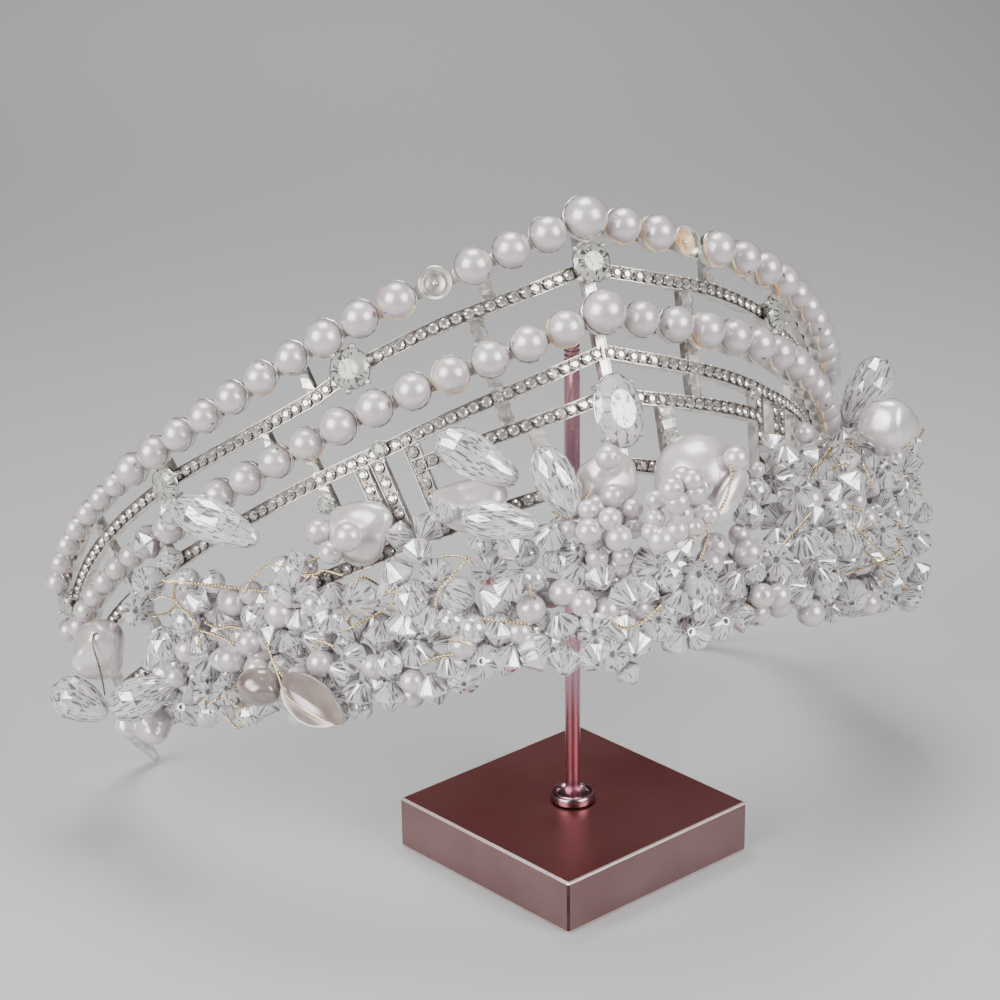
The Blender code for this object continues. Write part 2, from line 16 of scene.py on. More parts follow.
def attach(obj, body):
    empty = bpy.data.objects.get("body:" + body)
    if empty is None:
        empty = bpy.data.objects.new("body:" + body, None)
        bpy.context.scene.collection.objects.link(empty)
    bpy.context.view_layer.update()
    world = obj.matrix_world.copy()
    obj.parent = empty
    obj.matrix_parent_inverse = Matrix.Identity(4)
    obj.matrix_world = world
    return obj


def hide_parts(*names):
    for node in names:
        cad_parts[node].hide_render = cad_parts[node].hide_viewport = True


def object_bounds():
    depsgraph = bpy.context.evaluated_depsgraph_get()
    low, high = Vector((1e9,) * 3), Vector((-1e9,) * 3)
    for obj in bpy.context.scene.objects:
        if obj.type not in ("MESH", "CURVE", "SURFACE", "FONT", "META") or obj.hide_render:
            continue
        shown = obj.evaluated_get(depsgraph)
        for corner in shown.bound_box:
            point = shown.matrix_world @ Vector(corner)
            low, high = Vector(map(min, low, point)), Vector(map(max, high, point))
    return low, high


MM = 0.001
GAP = 0.3
ON_SHEET = 0.02

# Camera
VIEW_AZIMUTH = math.radians(-24.3)
VIEW_ELEVATION = math.radians(21.3)
VIEW_ROLL = math.radians(-0.67)
VIEW_SHIFT = (16.5, -78.7)
VIEW_DISTANCE = 656.2
LENS = 104.4
SENSOR = 36.0
PICTURE = 1000
FOCAL = PICTURE * LENS / SENSOR

# How the crown sits on the table and the rod
CROWN_SEAT = Vector((1.5, -74.0, -1.1))
CROWN_ROLL = math.radians(1.33)

# Plan of the crown
HALF_LENGTH = 143.0
TAIL_LENGTH = 51.0
FRONT_TURN = 0.775
FRONT_REACH = 16.6
SIDE_TURN = 0.00354
TAIL_TURN = 0.0103
FLARE = 0.39
LEAN = 0.92
TOP_ROW = (147.0, -142.2, 111.5, -67.6)
LOW_ROW = (128.9, -118.7, 77.3, -46.4)

# Strips of the frame, as steps between the lower pearl row (0) and the upper one (1)
SHEET_FACE = -4.3
BAND, RAIL_3, RAIL_2, LOW_STRIP, RAIL_1, TOP_STRIP = range(6)
RAIL_AT = (0.0, 12.0, 24.0, 33.0, 45.0, 72.0, HALF_LENGTH)
RAIL_STEPS = {
    # step at each place of RAIL_AT
    BAND: (-1.55, -1.57, -1.58, -1.6, -1.6, -1.6, -1.6),
    RAIL_3: (-0.82, -0.79, -0.79, -0.79, -0.79, -0.79, -0.79),
    RAIL_2: (-0.37, -0.41, -0.47, -0.46, -0.44, -0.44, -0.52),
    LOW_STRIP: (0.0, 0.0, 0.0, 0.0, 0.0, 0.0, 0.0),
    RAIL_1: (0.51, 0.57, 0.54, 0.46, 0.48, 0.58, 0.54),
    TOP_STRIP: (1.0, 1.0, 1.0, 1.0, 1.0, 1.0, 1.0),
}
RAIL_WIDTH = 2.6
RAIL_NARROWING = 0.5
CHANNEL_DEPTH = 0.85
SHALLOW = 0.3
CHANNEL_LIP = 0.09
CHANNEL_SINK = 0.45
CHANNEL_PIECE = 4.0
RAIL_STEP = 0.25
FACING_UP = 0.9
STONE_LEVEL = SHEET_FACE + CHANNEL_DEPTH * 0.8
BAR_OVERLAP = 0.2
BAR_PIECE = 0.8
BAR_WAIST = 0.10
BAR_WAVE = 2.7
BAR_SWELL = 1.3
PLAIN_BAR_DEPTH = 0.7
PLAIN_LIP = 0.35
PLAIN_SINK = 0.12
PLAIN_LUMPS = 0.2
CENTRE_LIP = 0.1
CENTRE_SINK = 0.2
GRAIN_PLACE = (1.02, 0.80, 0.05)
GRAIN_SIZE = 0.24
STONED_RAILS = (
    # rail, reach along, pitch and diameter of its stones
    (RAIL_1, 142.0, 2.75, 2.7),
    (RAIL_2, 142.0, 2.75, 2.7),
    (RAIL_3, 22.0, 2.75, 2.7),
    (BAND, 142.0, 2.75, 2.7),
)
STONED_BARS = (
    # start, width, lower rail, upper rail
    (20.0, 2.4, BAND, RAIL_2),
    (26.0, 2.6, BAND, RAIL_2),
    (29.2, 2.6, BAND, RAIL_2),
)
BAR_PITCH = 2.9
BAR_STONE = 2.6
CENTRE_BAR = 0.4
PLAIN_BARS = (
    # left start, right start, width, lower rail, upper rail
    (5.9, 4.0, 1.5, BAND, RAIL_3),
    (8.4, 7.8, 1.4, RAIL_3, RAIL_1),
    (6.9, 11.3, 1.0, RAIL_1, TOP_STRIP),
    (32.2, 32.2, 1.8, RAIL_1, TOP_STRIP),
    (38.2, 38.2, 1.8, BAND, LOW_STRIP),
    (45.6, 45.6, 1.8, LOW_STRIP, RAIL_1),
    (74.8, 74.8, 2.0, RAIL_1, TOP_STRIP),
    (89.0, 89.0, 2.0, RAIL_2, LOW_STRIP),
    (109.0, 109.0, 2.0, BAND, TOP_STRIP),
    (141.0, 141.0, 2.0, BAND, TOP_STRIP),
)

# Stand
BASE_WIDTH = 55.0
BASE_HEIGHT = 12.2
BASE_CHAMFER = 0.5
BASE_TURN = 17.7
# Finishes of the block's faces, one rose metal in lit and shaded copies: a darker top as painted shade,
# a near-white painted highlight on the chamfers, lighter sides as painted light and painted shade on
# the upright chamfers.
BLOCK_FINISHES = ("block", "edge_painted_highlight", "side", "edge_painted_shade")
UPRIGHT_FACE = 0.1
ROD_RADIUS = 1.7
ROD_SHANK = (
    # radius, height, turn
    (ROD_RADIUS - 0.1, 13.0, 0), (ROD_RADIUS, 13.2, 0), (ROD_RADIUS, 116.4, 0),
)
TIP_RINGS = 5
TIP_START = 116.6
TIP_PITCH = 1.1
TIP_RING = (
    # radius, rise from the ring's start
    (ROD_RADIUS - 0.28, 0.0), (ROD_RADIUS - 0.28, 0.4), (ROD_RADIUS, 0.6), (ROD_RADIUS, 0.9),
)
ROD_END = (
    # radius, height, turn
    (ROD_RADIUS, 122.2, 0), (ROD_RADIUS - 0.3, 122.5, 0),
)
COLLAR_RINGS = (
    # radius, height, turn
    (4.7, 12.5, 0), (5.0, 12.7, 0), (5.0, 13.5, 0), (4.85, 14.2, 0), (4.5, 14.6, 0), (4.1, 14.7, 0),
    (3.7, 14.4, 0), (3.5, 13.7, 0), (2.6, 13.3, 0), (1.9, 13.25, 0),
)

# Pearls of a half row
PEAK_DIAMETER = 9.4
PEAK_SPACE = 9.1
PEARL_RUNS = (
    # how many, diameter, spacing
    (7, 7.9, 8.75),
    (7, 7.2, 8.4),
    (7, 5.4, 6.55),
)
PEARL_TURN = 2.4
PEAK_TURN = 0.4
PEARL_TILT = 1.2
CUP_LIFT = 0.05
MISSING_PEARLS = {"left": 4, "right": 3}
CUP_RADIUS = 3.6
STRING_RADIUS = 0.5
GLUE_RING = 0.99
GLUE_THICKNESS = 0.085
GLUE_LEVEL = 0.95
GLUED_PEARLS = {
    "upper_left": (5, 9, 13, 16, 18, 20),
    "upper_right": (1, 2, 4, 5, 6, 7, 8, 9, 11, 13, 14, 16, 18),
    "lower_left": (1, 4, 8, 12, 15, 17, 18, 19, 20),
    "lower_right": (3, 6, 8, 9, 10, 11, 12, 13),
}

# Round crystals on the upper rail
CRYSTAL_STEP = 0.54
CRYSTAL_SEAT = 3.0
SMALL_SEAT = 1.6
FULL_PRONG = 3.4
PRONG_RING = 0.82
PRONG_LEAN = 20
ROUND_CRYSTALS = (
    # name, along, radius, prongs
    ("crystal_centre", 0.0, 4.3, 4),
    ("crystal_left_front", -24.6, 4.4, 6),
    ("crystal_right_front", 24.6, 4.4, 4),
    ("crystal_left_side", -76.0, 3.7, 4),
    ("crystal_right_side", 76.0, 3.7, 4),
    ("crystal_left_end", -139.4, 2.6, 4),
    ("crystal_right_end", 139.4, 2.6, 4),
)
SMALL_SETTINGS = (
    # along, height over the band, radius, prongs
    (4.5, 5.2, 1.9, 4),
    (-6.6, 6.6, 1.9, 4),
    (-39.7, 11.3, 1.9, 4),
    (18.6, 15.9, 1.7, 3),
    (-25.6, 17.0, 1.7, 3),
)
OVAL_HEIGHT = 110.6
OVAL_RADII = (5.6, 8.1)
OVAL_DEPTH = 5.0
OVAL_PRONGS = 4
OVAL_PRONG_SIZE = (0.8, 0.8, 0.9, 1)

# Garland bundle along the base band
GARLAND_GAP = 0.55
GARLAND_UPRIGHT = 4.0
GARLAND_FORM = (
    # along, top over the band, bottom under the band, depth, tilt
    (-126.0, -2.0, 9.0, 4.6, 0.0),
    (-112.0, 3.0, 12.0, 5.2, 0.0),
    (-98.0, 6.0, 15.0, 8.0, 0.0),
    (-80.0, 8.0, 18.0, 10.5, 1.0),
    (-60.0, 4.0, 23.0, 11.0, 0.0),
    (-42.0, -2.0, 26.0, 11.0, 0.0),
    (-28.0, -4.0, 28.5, 11.0, 0.0),
    (-14.0, -11.0, 30.5, 11.0, 0.0),
    (0.0, -15.0, 36.5, 11.0, 0.0),
    (14.0, -13.0, 26.5, 11.0, 0.0),
    (28.0, 0.0, 26.0, 13.0, 0.0),
    (45.0, 12.0, 22.5, 18.0, 5.0),
    (62.0, 17.0, 19.5, 22.0, 8.0),
    (80.0, 17.0, 16.5, 24.0, 8.0),
    (98.0, 12.0, 14.0, 23.0, 5.0),
    (112.0, 6.0, 12.5, 19.0, 2.0),
    (126.0, 0.0, 11.0, 9.0, 0.0),
)

# Large pieces wired on the garland: height is above the band
TEARDROPS = (
    # name, along, height, out, turn, lift, length, diameter
    ("teardrop_1", -13.4, 9.7, 3.0, -28, 0, 19.0, 9.6),
    ("teardrop_2", -7.1, 0.9, 7.6, -66, 0, 15.5, 9.0),
    ("teardrop_3", -13.3, -2.4, 8.2, -6, 4, 16.0, 8.8),
    ("teardrop_4", -60.7, 15.7, 6.7, -12, -6, 21.0, 9.6),
    ("teardrop_5", -136.6, 0.9, 9.0, -33, -31, 14.0, 10.2),
    ("teardrop_6", -106.7, -4.8, 9.8, 31, -45, 15.0, 9.6),
    ("teardrop_7", 70.0, 24.6, 9.0, -117, -34, 17.5, 10.4),
)
TEARDROP_RINGS = (
    # share of the radius, share of the length, turn in half steps
    (0.24, -0.49, 0), (0.64, -0.42, 1), (0.94, -0.25, 0), (0.99, -0.08, 1),
    (0.89, 0.10, 0), (0.68, 0.29, 1), (0.42, 0.45, 0), (0.22, 0.5, 1),
)
TEARDROP_BALLS = (
    # end of the ball's name, share of the length, share of the radius
    ("", -0.22, 1.0), ("_waist", 0.05, 1.0), ("_tip", 0.3, 0.6),
)
BAROQUE_PEARLS = (
    # name, along, height, out, three radii, turn
    ("baroque_1", -128.1, 7.0, 1.6, (6.4, 6.3, 6.4), 20),
    ("baroque_2", -34.2, 4.9, 0.4, (7.2, 6.3, 4.8), 7),
    ("baroque_3", -15.7, 2.4, -0.1, (8.0, 5.2, 4.1), 10),
    ("baroque_4", -56.0, -18.1, 10.6, (8.0, 4.8, 3.4), -20),
    ("baroque_5", -67.4, -12.4, 10.6, (5.0, 4.0, 4.0), 30),
    ("baroque_6", 39.8, 11.4, 17.9, (6.0, 6.8, 6.5), 30),
    ("baroque_7", -2.2, -2.1, 0.2, (6.6, 6.3, 4.6), 0),
    ("baroque_8", -131.8, -6.5, 2.6, (3.6, 3.4, 3.6), 0),
    ("baroque_9", -119.4, -9.3, 3.9, (4.6, 3.8, 4.2), 0),
    ("petal_pearl", 4.2, -7.9, 16.0, (6.8, 2.5, 1.5), -144),
)
BAROQUE_LOOKS = {
    # name: direction and share of its tip, direction and share of its dent
    "baroque_1": ((-0.6, 0.7, 0.3), 0.12, (0.55, -0.45, 0.7), 0.20),
    "baroque_2": ((0.8, 0.5, 0.2), 0.14, (-0.2, -0.5, 0.85), 0.12),
    "baroque_3": ((-0.9, 0.3, 0.2), 0.10, (0.2, 0.1, 1.0), 0.12),
    "baroque_5": ((-1.0, 0.2, 0.0), 0.15, (0.1, -0.4, 0.9), 0.15),
    "baroque_7": ((-0.7, -0.6, 0.2), 0.08, (0.2, -0.7, 0.7), 0.08),
    "baroque_8": ((0.0, -1.0, 0.2), 0.06, (0.3, 0.2, 0.9), 0.12),
    "baroque_9": ((0.0, -1.0, 0.2), 0.06, (0.0, -0.2, 1.0), 0.15),
    "petal_pearl": ((1.0, 0.0, 0.0), 0.10, (0.0, 0.0, 1.0), 0.12),
}
ANGULAR_PEARL = "baroque_6"
ANGULAR_FLATS = (
    # right, up and towards the viewer, distance from the middle
    (0.62, 0.78, 0.0, 0.84), (0.62, -0.78, 0.0, 0.82), (-0.1, 1.0, 0.1, 0.92), (-0.8, 0.6, 0.0, 0.92),
    (-0.6, -0.8, 0.0, 0.90), (-0.45, 0.15, 0.88, 0.90), (0.75, -0.05, 0.65, 0.80),
)
FLAT_SHARPNESS = 9
LEAF_PEARL = "baroque_4"
FLAT_PEARLS = (LEAF_PEARL, "petal_pearl")
# The leaf and baroque_5 are painted a dark brownish nacre as shade for their shadowed undersides.
PAINTED_SHADE_PEARLS = ("baroque_4", "baroque_5")
LARGE_PEARL = (4.3, -3.1, 5.5, 18.8)
CLUSTERS = (
    # name, along, height, out
    ("pearl_cluster_1", -4.3, -8.9, 5.8),
    ("pearl_cluster_2", 1.0, -8.6, 16.6),
)
CLUSTER_PEARLS = 5
CLUSTER_PEARL = 5.0
CLUSTER_RING = 3.9
CLUSTER_START = 0.3
CLUSTER_ROLL = 0.9
CLUSTER_SINK = -1.2

# Beads that the front view shows: B bicone, F bicone end on, R round cut bead, P pearl, C clear bead
BEAD_RADIUS = 3.5
SHOWN_BEADS = (
    # kind, picture x, picture y, diameter in the picture
    ("B", 128, 507, 32), ("B", 160, 515, 33), ("B", 135, 535, 30), ("F", 150, 582, 36),
    ("F", 140, 609, 36), ("C", 187, 582, 28), ("R", 212, 584, 30), ("P", 231, 601, 29),
    ("P", 279, 613, 29), ("P", 255, 623, 27), ("P", 249, 643, 25), ("P", 231, 659, 26),
    ("P", 257, 669, 26), ("C", 186, 621, 30), ("F", 297, 586, 44), ("B", 204, 667, 35),
    ("F", 210, 694, 34), ("P", 176, 677, 22), ("R", 166, 645, 40), ("B", 291, 645, 28),
    ("P", 320, 663, 26), ("P", 319, 531, 26), ("P", 350, 536, 28), ("P", 331, 552, 24),
    ("B", 400, 536, 32), ("B", 428, 526, 34), ("F", 436, 574, 34), ("R", 411, 600, 38),
    ("B", 403, 626, 36), ("B", 430, 622, 36), ("B", 360, 599, 40), ("R", 329, 618, 34),
    ("B", 354, 658, 32), ("R", 390, 664, 30), ("B", 359, 692, 32), ("B", 390, 696, 34),
    ("B", 434, 689, 36), ("F", 464, 678, 34), ("B", 486, 661, 33), ("B", 508, 660, 33),
    ("B", 535, 656, 33), ("F", 489, 567, 38), ("R", 457, 595, 38), ("B", 495, 599, 38),
    ("C", 525, 553, 27), ("C", 533, 579, 25), ("P", 550, 593, 29), ("P", 531, 609, 28),
    ("B", 563, 626, 34), ("F", 594, 630, 36), ("B", 565, 660, 35), ("B", 592, 657, 32),
    ("F", 612, 655, 34), ("B", 628, 672, 28), ("F", 590, 598, 38), ("B", 624, 595, 38),
    ("B", 643, 565, 36), ("F", 698, 579, 40), ("R", 667, 577, 32), ("F", 660, 625, 38),
    ("B", 690, 622, 34), ("P", 715, 547, 28), ("P", 748, 553, 29), ("P", 738, 535, 22),
    ("C", 756, 492, 30), ("B", 772, 441, 32), ("P", 803, 427, 22), ("C", 819, 448, 32),
    ("F", 851, 414, 34), ("B", 781, 456, 30), ("B", 791, 468, 30), ("B", 779, 480, 32),
    ("B", 803, 483, 32), ("B", 860, 438, 30), ("C", 827, 466, 28), ("R", 747, 516, 32),
    ("B", 771, 516, 34), ("B", 806, 456, 30), ("P", 757, 468, 17), ("B", 418, 551, 30),
    ("B", 397, 573, 36), ("B", 390, 596, 34), ("C", 451, 621, 28), ("C", 473, 629, 28),
    ("B", 499, 630, 34), ("B", 576, 555, 30), ("B", 452, 667, 34), ("B", 413, 596, 36),
    ("B", 534, 646, 36), ("B", 508, 585, 30), ("R", 556, 560, 28), ("B", 600, 577, 32),
    ("B", 644, 590, 34), ("B", 683, 548, 30), ("B", 668, 556, 30), ("B", 198, 602, 30),
    ("B", 186, 706, 32), ("F", 228, 690, 32), ("R", 174, 512, 26), ("B", 839, 441, 30),
    ("F", 888, 472, 38), ("F", 791, 494, 38), ("R", 829, 504, 38), ("B", 851, 484, 36),
    ("B", 908, 502, 34), ("R", 922, 513, 26), ("F", 775, 563, 40), ("B", 805, 549, 36),
    ("R", 845, 545, 36), ("B", 882, 531, 34), ("B", 918, 543, 34), ("B", 938, 569, 28),
    ("R", 928, 587, 34), ("R", 908, 597, 32), ("F", 850, 597, 38), ("B", 823, 583, 36),
    ("P", 811, 613, 28), ("P", 762, 596, 25), ("P", 778, 596, 25), ("B", 799, 593, 30),
    ("P", 868, 603, 26), ("B", 886, 573, 34), ("P", 896, 457, 20), ("C", 306, 566, 24),
    ("B", 300, 560, 24), ("B", 283, 567, 28), ("C", 253, 590, 18), ("B", 566, 511, 26),
    ("C", 559, 528, 22), ("R", 573, 533, 25),
)
WIRED_BEADS = (
    # what each rests on, kind, picture x, picture y, diameter in the picture
    ("large_pearl", "P", 733, 459, 26), ("baroque_7", "P", 607, 458, 27),
    ("baroque_2", "P", 318, 531, 26), ("baroque_2", "P", 347, 538, 27),
    ("baroque_2", "P", 331, 552, 24), ("pearl_cluster_1", "P", 613, 496, 25),
    ("pearl_cluster_1", "P", 588, 510, 22), ("pearl_cluster_1", "P", 633, 509, 21),
    ("pearl_cluster_1", "P", 588, 531, 27), ("pearl_cluster_1", "P", 618, 538, 28),
    ("pearl_cluster_1", "P", 597, 558, 24), ("pearl_cluster_1", "P", 609, 519, 24),
    ("pearl_cluster_1", "P", 634, 528, 22), ("pearl_cluster_1", "P", 623, 556, 22),
    ("pearl_cluster_1", "P", 571, 509, 20), ("teardrop_2_tip", "P", 569, 530, 20),
    ("pearl_cluster_2", "P", 651, 532, 21), ("pearl_cluster_2", "P", 714, 518, 20),
    ("pearl_cluster_2", "P", 672, 490, 25), ("pearl_cluster_2", "P", 697, 484, 23),
    ("pearl_cluster_2", "P", 704, 500, 26), ("pearl_cluster_2", "P", 656, 500, 21),
    ("pearl_cluster_2", "P", 684, 508, 26), ("pearl_cluster_2", "P", 655, 518, 21),
    ("pearl_cluster_2", "P", 677, 530, 25), ("pearl_cluster_2", "P", 697, 528, 21),
    ("pearl_cluster_2", "P", 661, 540, 29), ("teardrop_3", "F", 548, 537, 36),
    ("teardrop_3", "B", 512, 549, 32), ("baroque_3", "B", 482, 543, 32),
    ("pearl_cluster_1", "F", 572, 548, 34), ("baroque_3", "R", 446, 512, 26),
)
SHOWN_WIRES = (
    # places in the picture that each gold wire passes
    ((439, 547), (456, 547), (468, 551), (466, 562), (452, 576), (439, 591), (435, 606)),
    ((152, 538), (160, 560), (168, 580), (176, 600), (190, 615), (198, 628), (200, 647)),
    ((152, 600), (163, 596), (176, 602), (170, 612), (154, 616)),
    ((205, 622), (218, 628), (230, 626), (241, 628)),
    ((200, 630), (214, 634), (228, 640), (240, 646)),
    ((266, 549), (282, 546), (295, 542), (304, 539), (318, 546)),
    ((289, 545), (277, 558), (268, 566), (259, 572), (250, 582), (244, 594)),
    ((295, 545), (296, 557), (292, 568)),
    ((340, 632), (358, 624), (378, 613), (395, 602)),
    ((310, 650), (318, 640), (335, 647)),
    ((266, 640), (272, 658), (282, 676), (292, 690)),
    ((449, 640), (460, 641), (472, 647)),
    ((420, 665), (438, 657), (455, 655)),
    ((612, 622), (628, 628), (648, 618), (662, 604)),
    ((700, 560), (708, 535), (704, 520)),
    ((862, 463), (868, 476), (872, 490)),
    ((830, 470), (842, 464), (850, 465)),
    ((851, 524), (866, 538), (880, 552), (892, 565)),
    ((845, 575), (868, 566), (890, 560)),
    ((780, 548), (796, 530), (812, 512)),
    ((230, 689), (240, 683), (252, 682)),
    ((820, 432), (810, 426), (806, 440), (808, 458)),
    ((820, 426), (828, 438), (830, 452)),
    ((860, 548), (874, 560), (886, 572), (880, 584)),
    ((836, 530), (848, 536), (862, 532), (872, 524)),
)
PEARL_WIRES = (
    # pearl, finish, strands, places in the picture that the wire on it passes
    ("baroque_4", "gold", 1,
     ((270, 655), (278, 676), (284, 692), (297, 705), (315, 716), (332, 725), (341, 725))),
    ("petal_pearl", "gold", 2,
     ((730, 457), (731, 478), (727, 497), (718, 514), (707, 530), (698, 545))),
    ("pearl_cluster_1", "gold", 2, ((589, 491), (581, 505), (570, 517), (562, 532), (563, 548))),
    ("pearl_cluster_1", "gold", 2, ((552, 511), (562, 516), (571, 523), (567, 537), (560, 549))),
    ("baroque_1", "dark_wire", 1,
     ((101, 632), (97, 634), (97, 644), (101, 658), (103, 676), (105, 695))),
)

# Wires
WIRE_RADIUS = 0.17
PEARL_WIRE_RADII = {1: 0.2, 2: 0.16}
WIRE_LAY = 0.8
WIRE_LIFT = 0.8
WIRE_OVER = 0.4
WIRE_ARCH = 1.0
WIRE_ROOT = 0.5
WIRE_ON_PEARL = 0.3
WIRE_ON_FLAT = 1.3
WIRED_SHARE = 0.3
FRONT_SHARE = 0.12
TURNED_AWAY = 0.35

# Where the beads of the picture may lie
SHOWN_SINK = 0.75
SHOWN_SCALE = 4.5
CORE_LEVEL = 0.7
CORE_DEPTH = 0.4
LOOSE_TURN = 0.35
SHEET_REACH = 7.0
SEARCH_REACHES = (6.3, 10.0, 15.0, 22.0, 32.0, 60.0)
LONGEST_SHIFT = 4.0
FORWARD_STEPS = 24
FORWARD_STEP = 0.5
CLOSE_ON_SHEET = 0.9
BOX_MARGIN = 0.05
BOX_CLEAR = 0.02
TOUCH = 0.1
SLIDES = 24
BEAD_PRESS = 0.94
BEAD_ROLL = 1.3

# Beads that fill the bundle
BEAD_MASTERS = {"B": "bicone", "F": "bicone", "R": "cut_round", "P": "small_pearl", "C": "clear"}
FILLER_SEED = 11
FILLER_PASSES = (
    # tries, lowest and highest share of the bundle's depth, how close middles may come
    (14000, 0.97, 1.0, 0.67),
    (9000, 0.15, 0.80, 0.70),
    (5000, 0.45, 0.92, 0.62),
)
FILLER_KINDS = "BFRPC"
FILLER_SHARES = {"left": (12, 3, 4, 2.2, 0.5), "right": (13, 4, 5, 0.5, 0.4)}
FILLER_RADII = {"B": 3.9, "F": 4.0, "R": 3.7, "P": 2.9, "C": 2.9}
PEARLS_END = 18
FILLER_ENDS = 126
FILLER_LEVEL = 0.98
FILLER_SIZES = (0.9, 1.06)
FILLER_SINK = 0.8

# Studio
FLOOR_SIZE = 6.0
FLOOR_LEVEL = -0.0002
FLOOR_ROUGHNESS = 0.7
FLOOR_COLOUR = (0.47, 0.47, 0.475, 1.0)
ROOM_COLOUR = (0.80, 0.82, 0.86, 1.0)
ROOM_STRENGTH = 0.055
STUDIO_LIGHTS = (
    # name, place, what it is aimed at, size, spread in degrees, power
    ("left_box", (-0.68, -0.17, 0.42), (0.0, 0.0, 0.07), 0.62, 100, 3.7),
    ("right_box", (0.38, -0.62, 0.46), (0.0, 0.0, 0.07), 0.55, 100, 2.9),
    ("top_box", (0.02, 0.18, 0.80), (0.0, 0.0, 0.07), 0.45, 100, 1.9),
    ("back_box", (0.25, 0.85, 0.70), (0.35, 1.0, 0.0), 0.70, 110, 2.6),
)


# Shape of the crown

def cubic(terms, share):
    return sum(term * share ** power for power, term in enumerate(terms))


def heading_at(along):
    tail = max(0.0, along - HALF_LENGTH)
    return FRONT_TURN * (1 - math.exp(-along / FRONT_REACH)) + SIDE_TURN * along + TAIL_TURN * tail


def plan_points():
    """The right half's plan at each millimetre along."""
    point = Vector((0.0, 0.0))
    points = [point.copy()]
    for step in range(int(HALF_LENGTH + TAIL_LENGTH) + 2):
        middle = heading_at(step + 0.5)
        point = point + Vector((math.cos(middle), math.sin(middle)))
        points.append(point)
    return points


PLAN = plan_points()
CROWN = Matrix.Translation(CROWN_SEAT) @ Matrix.Rotation(CROWN_ROLL, 4, "Y")


def row_height(along, step):
    share = min(abs(along), HALF_LENGTH) / HALF_LENGTH
    low = cubic(LOW_ROW, share)
    return low + step * (cubic(TOP_ROW, share) - low)


def between(place_along, places, values):
    """The value at a place, in straight lines between the places of a table."""
    for start, end, first, second in zip(places, places[1:], values, values[1:]):
        if place_along <= end:
            share = max(0.0, (place_along - start) / (end - start))
            return first + (second - first) * share
    return values[-1]


def rail_height(along, rail):
    return row_height(along, between(abs(along), RAIL_AT, RAIL_STEPS[rail]))


def band_height(along):
    return rail_height(along, BAND)


def rail_half(along):
    share = min(abs(along), HALF_LENGTH) / HALF_LENGTH
    return (RAIL_WIDTH - RAIL_NARROWING * share) / 2


def facing(along, height, out=0.0):
    """Frame on the standing crown: X along it, Y up its sheet and Z out of it."""
    reach = min(abs(along), HALF_LENGTH + TAIL_LENGTH)
    side = -1.0 if along < 0 else 1.0
    heading = heading_at(reach)
    cosine = math.cos(heading)
    sine = math.sin(heading)
    step = int(reach)
    plan = PLAN[step].lerp(PLAN[step + 1], reach - step)
    centre = Vector((plan.x + sine * FLARE * height,
                     plan.y + (LEAN - cosine * FLARE) * height, height))
    tangent = Vector((cosine, side * sine, 0.0))
    normal = Vector((side * sine, -cosine, cosine * LEAN - FLARE)).normalized()
    centre.x *= side
    rising = normal.cross(tangent)
    matrix = Matrix((tangent, rising, normal)).transposed().to_4x4()
    matrix.translation = centre + normal * out
    return CROWN @ matrix


def over_band(along, height, out):
    """The same frame, with its height counted from the base band."""
    return facing(along, band_height(along) + height, out)


def spot(along, height, out=0.0):
    return facing(along, height, out).translation


def bundle_form(along):
    """Top, bottom, depth and tilt of the garland bundle at one place."""
    places = [row[0] for row in GARLAND_FORM]
    inside = min(max(along, places[0]), places[-1])
    return [between(inside, places, [row[column] for row in GARLAND_FORM]) for column in range(1, 5)]


def in_bundle(along, level, depth_share):
    """A point in the bundle: level runs -1 to 1 up it and depth_share 0 to 1 from the band out."""
    top, bottom, depth, tilt = bundle_form(along)
    over = (top - bottom) / 2 + (top + bottom) / 2 * level
    deep = math.sqrt(max(0.0, 1 - level * level)) ** 0.7 * depth / 2
    lean = tilt * max(0.0, over - GARLAND_UPRIGHT) / max(1.0, top - GARLAND_UPRIGHT)
    out = SHEET_FACE + GARLAND_GAP + depth / 2 + deep * (2 * depth_share - 1) + lean
    return spot(along, band_height(along) + over, out)


# View of the camera

def view_axes():
    """Right, up and back of the camera."""
    right = Vector((math.cos(VIEW_AZIMUTH), math.sin(VIEW_AZIMUTH), 0.0))
    back = Vector((math.sin(VIEW_AZIMUTH) * math.cos(VIEW_ELEVATION),
                   -math.cos(VIEW_AZIMUTH) * math.cos(VIEW_ELEVATION), math.sin(VIEW_ELEVATION)))
    up = back.cross(right)
    cosine = math.cos(VIEW_ROLL)
    sine = math.sin(VIEW_ROLL)
    return cosine * right + sine * up, cosine * up - sine * right, back


VIEW_RIGHT, VIEW_UP, VIEW_BACK = view_axes()


def in_picture(point):
    """Where a point in millimetres lies in the picture, and its scale there."""
    scale = FOCAL / (VIEW_DISTANCE - point.dot(VIEW_BACK))
    return (PICTURE / 2 + scale * (point.dot(VIEW_RIGHT) + VIEW_SHIFT[0]),
            PICTURE / 2 - scale * (point.dot(VIEW_UP) + VIEW_SHIFT[1]), scale)


def bundle_spots():
    """Outer points of the bundle, each with its place in the picture and the core behind it."""
    spots = []
    for step in range(-FILLER_ENDS, FILLER_ENDS + 1, 2):
        for notch in range(-19, 20):
            level = notch / 20
            point = in_bundle(step, level, 1.0)
            across, down = in_picture(point)[:2]
            spots.append((across, down, point, in_bundle(step, level * CORE_LEVEL, CORE_DEPTH)))
    return spots


def sheet_spots():
    """Middles of beads that rest on the front of the sheet, each with its place in the picture."""
    spots = []
    for step in range(-138, 101):
        for rise in range(-2, 26):
            seat = over_band(step, rise, SHEET_FACE + CHANNEL_DEPTH + BEAD_RADIUS)
            across, down = in_picture(seat.translation)[:2]
            spots.append((across, down, seat.translation, seat.col[2].to_3d()))
    return spots


def squared(spot, across, down):
    return (spot[0] - across) ** 2 + (spot[1] - down) ** 2


def away(spots, across, down):
    """How many pixels the nearest of some spots lies from a place of the picture."""
    return math.sqrt(min(squared(spot, across, down) for spot in spots))


